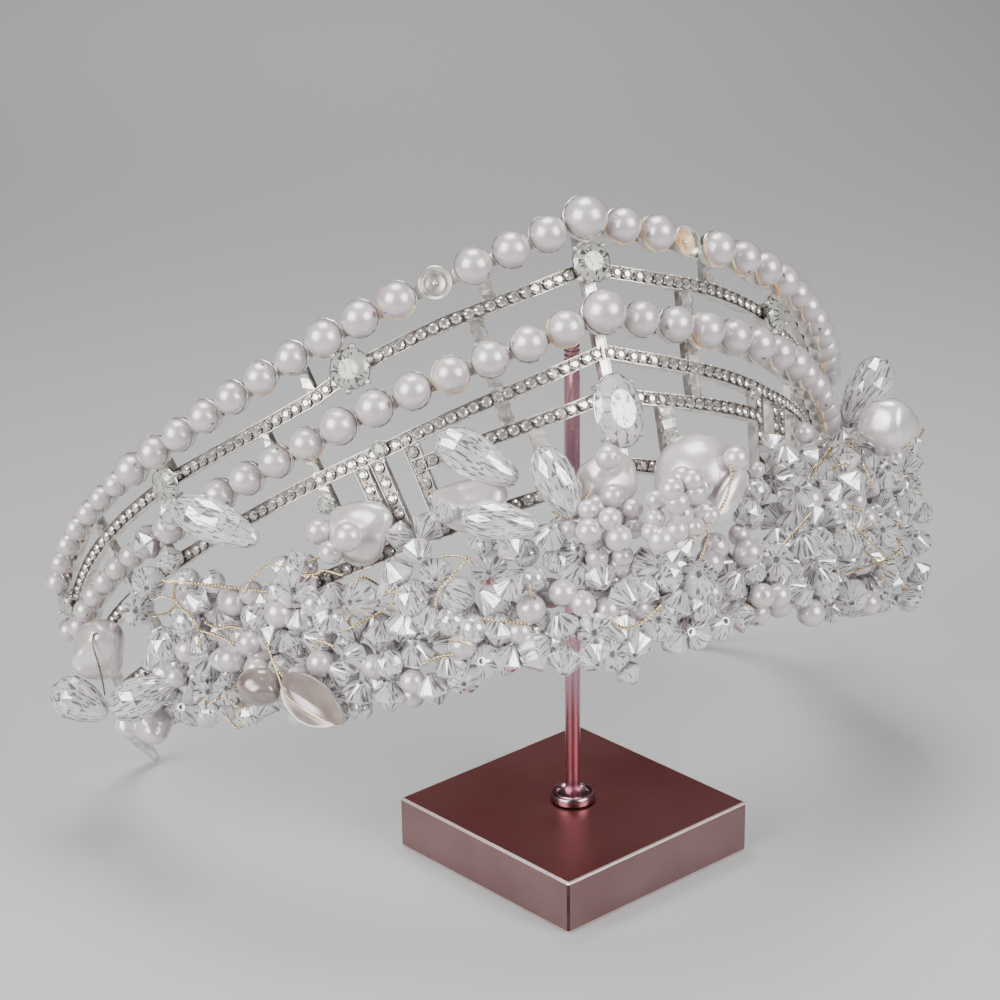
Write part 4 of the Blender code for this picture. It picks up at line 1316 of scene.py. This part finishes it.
def build_empty_cup(side, along):
    """The cup whose pearl is lost, with its bare peg and a pool in its floor, of glue on the right and
    of silver on the left.
    """
    floor = GAP + 2 * STRING_RADIUS
    seat = facing(along, row_height(along, 1.0), SHEET_FACE + GAP)
    radius = CUP_RADIUS
    bowl = ((radius * 0.2, floor, 0), (radius * 0.6, floor + 0.2, 0), (radius * 0.86, floor + 1.1, 0),
            (radius, floor + 2.1, 0), (radius * 0.95, floor + 2.25, 0), (radius * 0.9, floor + 2.15, 0),
            (radius * 0.72, floor + 1.1, 0), (radius * 0.5, floor + 0.7, 0), (0.7, floor + 0.5, 0),
            (0.55, floor + 0.6, 0), (0.5, floor + 1.5, 0), (0.2, floor + 1.7, 0))
    pool = ((radius * 0.5, floor + 0.72, 0), (radius * 0.78, floor + 1.25, 0),
            (radius * 0.74, floor + 1.35, 0), (radius * 0.5, floor + 1.0, 0), (0.65, floor + 0.9, 0),
            (0.6, floor + 0.7, 0))
    lining = "glue" if side == "right" else "silver"
    pieces = []
    for name, rings, finish, smooth in (("empty_cup", bowl, "silver", 35),
                                        ("cup_lining", pool, lining, 60)):
        pieces.append(set_out(turn_up(name, rings, 20, finish, smooth), [seat], name))
    hand_over(join_up(pieces, f"empty_cup_{side}_bowl"), "cup_metal", f"empty_cup_{side}")


# Cut stones

def set_crystal(seat, girdle_height, radius, prongs):
    """A round brilliant in its foil cup, held by ball-tipped prongs."""
    girdle = seat @ moved(0, 0, girdle_height) @ scaled(radius)
    pieces = copies_of(MASTER["brilliant"], [girdle])
    pieces += copies_of(MASTER["foil_cup"], [girdle])
    share = min(1.0, radius / FULL_PRONG)
    tall = girdle_height / CRYSTAL_SEAT
    for number in range(prongs):
        turn = 2 * math.pi * (number + 0.5) / prongs
        lean = turned(turn, "Z") @ moved(radius * PRONG_RING, 0, 0)
        lean = lean @ turned(math.radians(PRONG_LEAN), "Y") @ Matrix.Diagonal((share, share, tall, 1))
        pieces += copies_of(MASTER["prong"], [seat @ lean])
    return pieces


def build_round_crystals():
    for name, along, radius, prongs in ROUND_CRYSTALS:
        seat = facing(along, row_height(along, CRYSTAL_STEP), SHEET_FACE + GAP)
        pieces = set_crystal(seat, CRYSTAL_SEAT, radius, prongs)
        hand_over(join_up(pieces, f"{name}_stone"), "crystal", name)
    pieces = []
    for along, height, radius, prongs in SMALL_SETTINGS:
        pieces += set_crystal(over_band(along, height, SHEET_FACE + GAP), SMALL_SEAT, radius, prongs)
    hand_over(join_up(pieces, "small_set_stones"), "crystal")


def build_oval():
    """The large oval stone in its closed bezel, with four ball-tipped prongs."""
    seat = facing(0.0, OVAL_HEIGHT, SHEET_FACE + GAP)
    depth = OVAL_DEPTH
    rings = ((0.30, 0.1, 0), (0.97, depth * 0.44, 1), (0.985, depth * 0.54, 1), (0.80, depth * 0.80, 0),
             (0.52, depth * 0.98, 1))
    stone = turn_up("oval_stone", rings, 12, "oval_stone", None, OVAL_RADII)
    map_facets(stone, OVAL_DEPTH / 2)
    bezel_rings = ((0.28, 0.0, 0), (0.80, 0.0, 0), (1.0, depth * 0.35, 0), (1.0, depth * 0.50, 0),
                   (0.985, depth * 0.52, 0), (0.98, depth * 0.40, 0), (0.62, depth * 0.10, 0),
                   (0.2, 0.06, 0))
    bezel = turn_up("oval_bezel", bezel_rings, 24, "white_foil", 25, OVAL_RADII)
    pieces = [set_out(stone, [seat], "oval_stone"), set_out(bezel, [seat], "oval_bezel")]
    for number in range(OVAL_PRONGS):
        turn = math.pi / 4 + number * math.pi / 2
        shift = moved(OVAL_RADII[0] * math.cos(turn), OVAL_RADII[1] * math.sin(turn), 0.0)
        pieces += copies_of(MASTER["prong"], [seat @ shift @ Matrix.Diagonal(OVAL_PRONG_SIZE)])
    hand_over(join_up(pieces, "oval_crystal_stone"), "crystal", "oval_crystal")


def teardrop_seat(along, height, out, turn, lift):
    """Frame of a teardrop: its own length runs along Z."""
    lie = turned(math.radians(turn), "Z") @ turned(math.radians(90 - lift), "Y")
    return over_band(along, height, out) @ lie


def build_teardrops():
    for name, along, height, out, turn, lift, length, diameter in TEARDROPS:
        seat = teardrop_seat(along, height, out, turn, lift)
        rings = [(diameter / 2 * share, length * level, half) for share, level, half in TEARDROP_RINGS]
        drop = turn_up("drop", rings, 14, "crystal")
        map_facets(drop, length / 4)
        piece = set_out(drop, [seat], f"{name}_drop")
        outside = max(0.0, CAD_BOX[0][0] - min(vert.co.x for vert in piece.data.vertices))
        if outside:
            for vert in piece.data.vertices:
                vert.co.x += outside + BOX_CLEAR * MM
        hand_over(piece, "crystal", name)


# Pearls of the garland

def shape_leaf(pearl, radii):
    """Hollows a round bench pearl into a thin leaf with a raised rim, a fold and a point."""
    for vert in pearl.data.vertices:
        x, y, z = vert.co
        if z > 0:
            z = 0.30 * z - 0.58 * z * z
        bend = 0.30 * y * y + 0.05 * math.sin(4.2 * y + 1.2 * x)
        point = max(0.0, x)
        vert.co = Vector((x * (1.0 + 0.10 * point ** 4) * radii[0],
                          y * (1.08 - 0.30 * point ** 2) * radii[1], (z + bend) * radii[2]))


def flatten(pearl, flats, radii, seat):
    """Presses flats into a round bench pearl, their directions given as the picture shows them."""
    sheet = seat.to_3x3().transposed()
    sides = []
    for right, up, towards, distance in flats:
        side = (VIEW_RIGHT * right + VIEW_UP * up + VIEW_BACK * towards).normalized()
        sides.append((sheet @ side, distance))
    for vert in pearl.data.vertices:
        x, y, z = vert.co
        press = sum(max(0.0, vert.co.dot(side) / distance) ** FLAT_SHARPNESS
                    for side, distance in sides)
        ripple = 1.0 + 0.012 * math.sin(5.0 * x + 4.0 * z) * math.cos(4.4 * y)
        x, y, z = vert.co * ripple * 1.10 / (1.0 + press) ** (1.0 / FLAT_SHARPNESS)
        vert.co = Vector((x * radii[0], y * radii[1], z * radii[2]))


def shape_baroque(pearl, name, along, radii):
    """Gives a round bench pearl the lumps, tip and dent of one freshwater pearl."""
    tip, point, dent, depth = BAROQUE_LOOKS[name]
    tip = Vector(tip).normalized()
    dent = Vector(dent).normalized()
    for vert in pearl.data.vertices:
        x, y, z = vert.co
        lump = 1.0 + 0.09 * math.sin(2.6 * x + 1.9 * y + along) - 0.08 * math.cos(3.1 * y - 2.0 * z)
        ripple = 1.0 + 0.016 * math.sin(6.5 * x + 4.0 * z + along) * math.cos(5.2 * y)
        towards_tip = max(0.0, (vert.co.dot(tip) - 0.72) / 0.28)
        towards_dent = max(0.0, (vert.co.dot(dent) - 0.45) / 0.55)
        swell = lump * ripple * (1.0 + point * towards_tip ** 2)
        sunk = depth * towards_dent ** 2 * (3.0 - 2.0 * towards_dent)
        vert.co = Vector((x * radii[0], y * radii[1], z * radii[2])) * swell * (1.0 - sunk)


def build_baroques():
    """The freshwater pearls and the one large round pearl."""
    for name, along, height, out, radii, turn in BAROQUE_PEARLS:
        clear_choice()
        bpy.ops.mesh.primitive_ico_sphere_add(subdivisions=5, radius=1.0)
        pearl = bpy.context.object
        seat = over_band(along, height, out) @ turned(math.radians(turn), "Z")
        if name == LEAF_PEARL:
            shape_leaf(pearl, radii)
        elif name == ANGULAR_PEARL:
            flatten(pearl, ANGULAR_FLATS, radii, seat)
        else:
            shape_baroque(pearl, name, along, radii)
        # The shadowed pearls take the dark nacre of painted shade.
        pearl.data.materials.append(FINISH["painted_shade_pearl" if name in PAINTED_SHADE_PEARLS else "river_pearl"])
        bpy.ops.object.shade_smooth()
        pearl.matrix_world = scaled(MM) @ seat
        hand_over(join_up([pearl], f"{name}_nacre"), "freshwater_pearl", name)
    along, height, out, diameter = LARGE_PEARL
    seat = over_band(along, height, out) @ turned(BEAD_ROLL, "X") @ scaled(diameter / 2)
    piece = set_out(round_bead("large_master", "pearl", 48, 28), [seat], "large_pearl_bead")
    hand_over(piece, "pearl", "large_pearl")


def bead_on(balls, carrier, across, down, width):
    """Middle and radius of a wired bead that rests on a larger piece where the picture shows it."""
    centre, size = balls[carrier]
    radius = width / 2 / in_picture(centre)[2]
    return keep_inside(against((centre, size * BEAD_PRESS), across, down, radius), radius), radius


def build_wired_beads(balls):
    """Clusters and the single beads wired on the large pieces."""
    groups = {}
    for number, (carrier, kind, across, down, width) in enumerate(WIRED_BEADS):
        centre, radius = bead_on(balls, carrier, across, down, width)
        place = Matrix.Translation(centre) @ turned(number * BEAD_ROLL, "X") @ scaled(radius)
        groups.setdefault(carrier, []).append((kind, place))
    for name, along, height, out in CLUSTERS:
        seat = over_band(along, height, out)
        for number in range(CLUSTER_PEARLS):
            turn = 2 * math.pi * (number + CLUSTER_START) / CLUSTER_PEARLS
            shift = moved(CLUSTER_RING * math.cos(turn), CLUSTER_RING * math.sin(turn), CLUSTER_SINK)
            place = seat @ shift @ turned(number * CLUSTER_ROLL, "Y") @ scaled(CLUSTER_PEARL / 2)
            groups[name].append(("P", place))
    for carrier, beads in groups.items():
        pearls = copies_of(MASTER["small_pearl"], [place for kind, place in beads if kind == "P"])
        if pearls:
            nodes = [carrier] if carrier.startswith("pearl_cluster") else []
            hand_over(join_up(pearls, f"{carrier}_wired_pearls"), "pearl", *nodes)
        stones = []
        for kind, place in beads:
            if kind != "P":
                stones += copies_of(MASTER[BEAD_MASTERS[kind]], [place])
        if stones:
            hand_over(join_up(stones, f"{carrier}_wired_crystals"), "crystal_strings")


# Garland of strung beads

class Crowd:
    """Balls kept in a grid of cells, so that the neighbours of a place are found at once."""

    CELL = 15.0

    def __init__(self):
        self.cells = {}

    def cell_of(self, point):
        return tuple(math.floor(value / self.CELL) for value in point)

    def add(self, centre, radius):
        self.cells.setdefault(self.cell_of(centre), []).append((centre, radius))

    def has_room(self, centre, radius, closeness):
        home = self.cell_of(centre)
        for x in (-1, 0, 1):
            for y in (-1, 0, 1):
                for z in (-1, 0, 1):
                    for other, size in self.cells.get((home[0] + x, home[1] + y, home[2] + z), ()):
                        if (centre - other).length < closeness * (radius + size):
                            return False
        return True


def large_balls():
    """The large pieces of the garland as balls, by name."""
    balls = {}
    for name, along, height, out, turn, lift, length, diameter in TEARDROPS:
        seat = teardrop_seat(along, height, out, turn, lift)
        axis = seat.col[2].to_3d().normalized()
        for label, share, width in TEARDROP_BALLS:
            balls[name + label] = (seat.translation + axis * length * share, diameter / 2 * width)
    for name, along, height, out, radii, turn in BAROQUE_PEARLS:
        balls[name] = (over_band(along, height, out).translation, sum(radii) / 3)
    along, height, out, diameter = LARGE_PEARL
    balls["large_pearl"] = (over_band(along, height, out).translation, diameter / 2)
    for name, along, height, out in CLUSTERS:
        balls[name] = (over_band(along, height, out).translation, CLUSTER_RING)
    return balls


def crowd_of(balls):
    """The large pieces and the lower pearl row, which no bead may grow into."""
    crowd = Crowd()
    for centre, radius in balls.values():
        crowd.add(centre, radius)
    for side in ("left", "right"):
        along_at = row_path(side, 0.0)
        for distance, diameter in half_row():
            along = along_at(distance)
            radius = diameter / 2
            crowd.add(spot(along, row_height(along, 0.0), SHEET_FACE + GAP + radius), radius)
    return crowd


def keep_inside(centre, radius):
    """Moves a bead back into the box of the solids."""
    low, high = CAD_BOX
    margin = radius + BOX_MARGIN
    return Vector([min(max(value, start / MM + margin), end / MM - margin)
                   for value, start, end in zip(centre, low, high)])


def random_turn(chance):
    axis = Vector((chance.gauss(0, 1), chance.gauss(0, 1), chance.gauss(0, 1))).normalized()
    return Matrix.Rotation(chance.uniform(0, math.tau), 4, axis)


def touches(held, centre, radius):
    return any((centre - other).length < radius + size - TOUCH for other, size in held)


def settle(beads, balls):
    """Slides each bead that hangs apart from the rest along the line of sight until it touches."""
    held = list(balls.values())
    waiting = list(range(len(beads)))
    left = len(waiting) + 1
    while len(waiting) < left:
        left = len(waiting)
        for number in list(waiting):
            if touches(held, beads[number][1], beads[number][2]):
                held.append((beads[number][1], beads[number][2]))
                waiting.remove(number)
    for number in waiting:
        kind, centre, radius, turn, outward = beads[number]
        slides = sorted((step / 2 for step in range(-SLIDES, SLIDES + 1)), key=abs)
        places = [centre + VIEW_BACK * slide for slide in slides]
        place = next((place for place in places if touches(held, place, radius)), None)
        if place is None:
            other, size = min(held, key=lambda ball: (ball[0] - centre).length - ball[1])
            place = other + (centre - other).normalized() * (radius + size - 2 * TOUCH)
        place = keep_inside(place, radius)
        held.append((place, radius))
        beads[number] = (kind, place, radius, turn, outward)


def facing_turn(direction):
    return direction.to_track_quat("Z", "Y").to_matrix().to_4x4()


def plan_beads(balls, spots):
    """Every bead of the garland: kind, centre, radius, turn and outward side, the shown ones first."""
    chance = random.Random(FILLER_SEED)
    crowd = crowd_of(balls)
    front = sheet_spots()
    beads = []

    def add(kind, centre, radius, turn, outward):
        centre = keep_inside(centre, radius)
        beads.append((kind, centre, radius, turn, outward))
        crowd.add(centre, radius)
    for kind, across, down, width in SHOWN_BEADS:
        radius = width / 2 / SHOWN_SCALE
        if away(spots, across, down) > min(SHEET_REACH, away(front, across, down)):
            centre, outward = on_sheet(across, down, front, radius, crowd)
        else:
            centre, outward = on_bundle(across, down, spots, radius * SHOWN_SINK)
        turn = random_turn(chance)
        if kind == "F":
            turn = facing_turn(VIEW_BACK) @ turned(chance.uniform(-LOOSE_TURN, LOOSE_TURN), "X")
        add(kind, centre, radius, turn, outward)
    for tries, low, high, closeness in FILLER_PASSES:
        for _ in range(tries):
            along = chance.uniform(-FILLER_ENDS, FILLER_ENDS)
            level = chance.uniform(-FILLER_LEVEL, FILLER_LEVEL)
            shares = FILLER_SHARES["left" if along < PEARLS_END else "right"]
            kind = chance.choices(FILLER_KINDS, shares)[0]
            radius = FILLER_RADII[kind] * chance.uniform(*FILLER_SIZES)
            radius = min(radius, bundle_form(along)[2] * 0.5)
            core = in_bundle(along, level * CORE_LEVEL, CORE_DEPTH)
            face = in_bundle(along, level, chance.uniform(low, high))
            outward = (face - core).normalized()
            centre = face - outward * radius * FILLER_SINK
            if not crowd.has_room(centre, radius, closeness):
                continue
            turn = random_turn(chance)
            if kind == "F":
                turn = facing_turn(outward)
            add(kind, centre, radius, turn, outward)
    settle(beads, balls)
    return beads


def smooth_route(points, step=0.3):
    """Points every third of a millimetre on a smooth curve through a route's own points."""
    route = []
    count = len(points)
    for number in range(count - 1):
        before = points[max(number - 1, 0)]
        start = points[number]
        end = points[number + 1]
        after = points[min(number + 2, count - 1)]
        square = 2 * before - 5 * start + 4 * end - after
        cube = 3 * start - before - 3 * end + after
        pieces = max(2, int((end - start).length / step))
        for piece in range(pieces):
            t = piece / pieces
            route.append(0.5 * (2 * start + (end - before) * t + (square * t * t + cube * t ** 3)))
    route.append(points[-1].copy())
    return route


def twisted_wire(points, radius=WIRE_RADIUS, strands=2, finish="gold"):
    """Thin wires twisted round each other along a smooth route."""
    route = smooth_route(points)
    wires = []
    for strand in range(strands):
        curve = bpy.data.curves.new("wire", "CURVE")
        curve.dimensions = "3D"
        curve.bevel_depth = radius * MM
        curve.bevel_resolution = 1
        curve.use_fill_caps = True
        line = curve.splines.new("POLY")
        line.points.add(len(route) - 1)
        length = 0.0
        for number, point in enumerate(route):
            point = keep_inside(point, radius * 2)
            ahead = route[min(number + 1, len(route) - 1)] - route[max(number - 1, 0)]
            side = ahead.cross(VIEW_BACK).normalized()
            over = ahead.normalized().cross(side)
            if number:
                length += (point - route[number - 1]).length
            phase = length / WIRE_LAY * math.pi + strand * math.pi
            offset = Vector()
            if strands > 1:
                offset = (side * math.cos(phase) + over * math.sin(phase)) * radius
            line.points[number].co = (*(point + offset) * MM, 1.0)
        wire = bpy.data.objects.new("wire", curve)
        bpy.context.scene.collection.objects.link(wire)
        curve.materials.append(FINISH[finish])
        wires.append(wire)
    clear_choice()
    for wire in wires:
        wire.select_set(True)
    bpy.context.view_layer.objects.active = wires[0]
    bpy.ops.object.convert(target="MESH")
    if strands > 1:
        bpy.ops.object.join()
    return bpy.context.view_layer.objects.active


def plan_wires(beads, spots):
    """Routes of the gold wires: the shown ones, then short ones from bead to neighbour."""
    chance = random.Random(FILLER_SEED + 1)
    routes = []
    for places in SHOWN_WIRES:
        routes.append([on_bundle(across, down, spots, -WIRE_OVER)[0] + VIEW_BACK * WIRE_LIFT
                       for across, down in places])
    outer = [bead for bead in beads
             if bead[4].dot(VIEW_BACK) < TURNED_AWAY or chance.random() < FRONT_SHARE]
    for bead in outer:
        if chance.random() > WIRED_SHARE:
            continue
        near = sorted(beads, key=lambda other: (other[1] - bead[1]).length)[2:5]
        other = chance.choice(near)
        rise = (bead[4] + other[4]).normalized() * (bead[2] + WIRE_ARCH)
        routes.append([bead[1] + bead[4] * bead[2] * WIRE_ROOT, bead[1].lerp(other[1], 0.5) + rise,
                       other[1] + other[4] * other[2] * WIRE_ROOT])
    return routes


def build_pearl_wires(balls):
    """The wires that run over the leaf, the petal, a cluster and the last pearl on the left."""
    wires = []
    for carrier, finish, strands, places in PEARL_WIRES:
        if carrier in FLAT_PEARLS:
            along, height, out = next(row[1:4] for row in BAROQUE_PEARLS if row[0] == carrier)
            seat = over_band(along, height, out)
            route = [on_leaf(seat, across, down, WIRE_ON_FLAT) for across, down in places]
        else:
            route = [against(balls[carrier], across, down, WIRE_ON_PEARL) for across, down in places]
        wires.append(twisted_wire(route, PEARL_WIRE_RADII[strands], strands, finish))
    hand_over(join_up(wires, "pearl_wires"), "crystal_strings")


def build_garland(balls):
    """The bead bundle of both sides, with its gold wires."""
    spots = bundle_spots()
    beads = plan_beads(balls, spots)
    routes = plan_wires(beads, spots)
    for side in ("left", "right"):
        mine = [bead for bead in beads if (bead[1].x < CROWN_SEAT.x) == (side == "left")]
        for slot, kinds, label in (("crystal_strings", "BFR", "crystals"), ("pearl", "P", "pearls"),
                                   ("crystal_strings", "C", "clear_beads")):
            pieces = []
            for kind in kinds:
                places = [Matrix.Translation(centre) @ turn @ scaled(radius)
                          for sort, centre, radius, turn in (bead[:4] for bead in mine) if sort == kind]
                pieces += copies_of(MASTER[BEAD_MASTERS[kind]], places)
            hand_over(join_up(pieces, f"garland_{side}_{label}"), slot, f"garland_{side}")
        wires = [twisted_wire(route) for route in routes
                 if (route[0].x < CROWN_SEAT.x) == (side == "left")]
        hand_over(join_up(wires, f"garland_{side}_wires"), "crystal_strings", f"garland_{side}")


# Stand and studio

def build_stand():
    """The metal block with its cut edges and painted light and shade, the collar and the rod with its
    ringed tip.
    """
    clear_choice()
    bpy.ops.mesh.primitive_cube_add(size=1, location=(0, 0, BASE_HEIGHT / 2),
                                    scale=(BASE_WIDTH, BASE_WIDTH, BASE_HEIGHT))
    block = bpy.context.object
    bpy.ops.object.transform_apply()
    for finish in BLOCK_FINISHES:
        block.data.materials.append(FINISH[finish])
    bevel = block.modifiers.new("cut edges", "BEVEL")
    bevel.width = BASE_CHAMFER
    bevel.segments = 2
    # The chamfers take the near-white painted highlight.
    bevel.material = BLOCK_FINISHES.index("edge_painted_highlight")
    bpy.ops.object.modifier_apply(modifier=bevel.name)
    # Upright chamfers take the painted shade, and upright faces the lighter painted light of the sides.
    for face in block.data.polygons:
        if abs(face.normal.z) < UPRIGHT_FACE:
            edge = face.material_index == BLOCK_FINISHES.index("edge_painted_highlight")
            face.material_index = BLOCK_FINISHES.index("edge_painted_shade" if edge else "side")
    block.matrix_world = turned(math.radians(BASE_TURN), "Z") @ scaled(MM)
    hand_over(join_up([block], "stand_block"), "stand_metal", "stand_base")
    collar = turn_up("collar", COLLAR_RINGS, 48, "collar", 40)
    hand_over(set_out(collar, [Matrix()], "collar_ring"), "stand_metal", "stand_collar")
    rings = list(ROD_SHANK)
    for number in range(TIP_RINGS):
        rings += [(radius, TIP_START + number * TIP_PITCH + rise, 0) for radius, rise in TIP_RING]
    rings += ROD_END
    rod = turn_up("rod", rings, 28, "rod", 35)
    hand_over(set_out(rod, [Matrix()], "rod_with_ringed_tip"), "rod_metal", "stand_rod")
    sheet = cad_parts["crown_frame"]
    sheet.data.materials.clear()
    sheet.data.materials.append(FINISH["silver"])


def make_studio():
    """A pale floor, a dim room and soft lights to the left, the right, over and behind the crown."""
    clear_choice()
    bpy.ops.mesh.primitive_plane_add(size=FLOOR_SIZE, location=(0, 0, FLOOR_LEVEL))
    floor = bpy.context.object
    floor.name = "floor"
    paint = bpy.data.materials.new("pale_floor")
    paint.use_nodes = True
    shader = paint.node_tree.nodes["Principled BSDF"]
    shader.inputs["Base Color"].default_value = FLOOR_COLOUR
    shader.inputs["Roughness"].default_value = FLOOR_ROUGHNESS
    floor.data.materials.append(paint)
    world = bpy.data.worlds.new("studio")
    world.use_nodes = True
    room = world.node_tree.nodes["Background"]
    room.inputs["Color"].default_value = ROOM_COLOUR
    room.inputs["Strength"].default_value = ROOM_STRENGTH
    bpy.context.scene.world = world
    for name, place, target, size, spread, power in STUDIO_LIGHTS:
        light = bpy.data.lights.new(name, "AREA")
        light.size = size
        light.spread = math.radians(spread)
        light.energy = power
        lamp = bpy.data.objects.new(name, light)
        bpy.context.scene.collection.objects.link(lamp)
        lamp.location = place
        aim = Vector(target) - Vector(place)
        lamp.rotation_euler = aim.to_track_quat("-Z", "Y").to_euler()


def as_lists(bounds):
    return [[round(value, 5) for value in corner] for corner in bounds]


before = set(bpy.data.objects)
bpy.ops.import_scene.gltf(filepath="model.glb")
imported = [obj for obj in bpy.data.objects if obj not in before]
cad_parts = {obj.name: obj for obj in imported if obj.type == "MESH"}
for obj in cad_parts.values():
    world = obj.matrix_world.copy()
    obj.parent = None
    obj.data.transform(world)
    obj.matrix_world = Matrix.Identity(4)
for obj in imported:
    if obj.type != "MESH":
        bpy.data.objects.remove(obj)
CAD_BOX = as_lists(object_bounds())
clear_choice()
make_camera()
GROUPS = {"surface": build_surface_variation(), "facets": build_painted_facet_reflections()}
FINISH = make_finishes()
MASTER = make_masters()
build_stand()
build_rails()
build_pearl_rows()
build_round_crystals()
build_oval()
build_teardrops()
build_baroques()
BALLS = large_balls()
build_wired_beads(BALLS)
build_garland(BALLS)
build_pearl_wires(BALLS)
for master in MASTER.values():
    bpy.data.objects.remove(master)
make_studio()
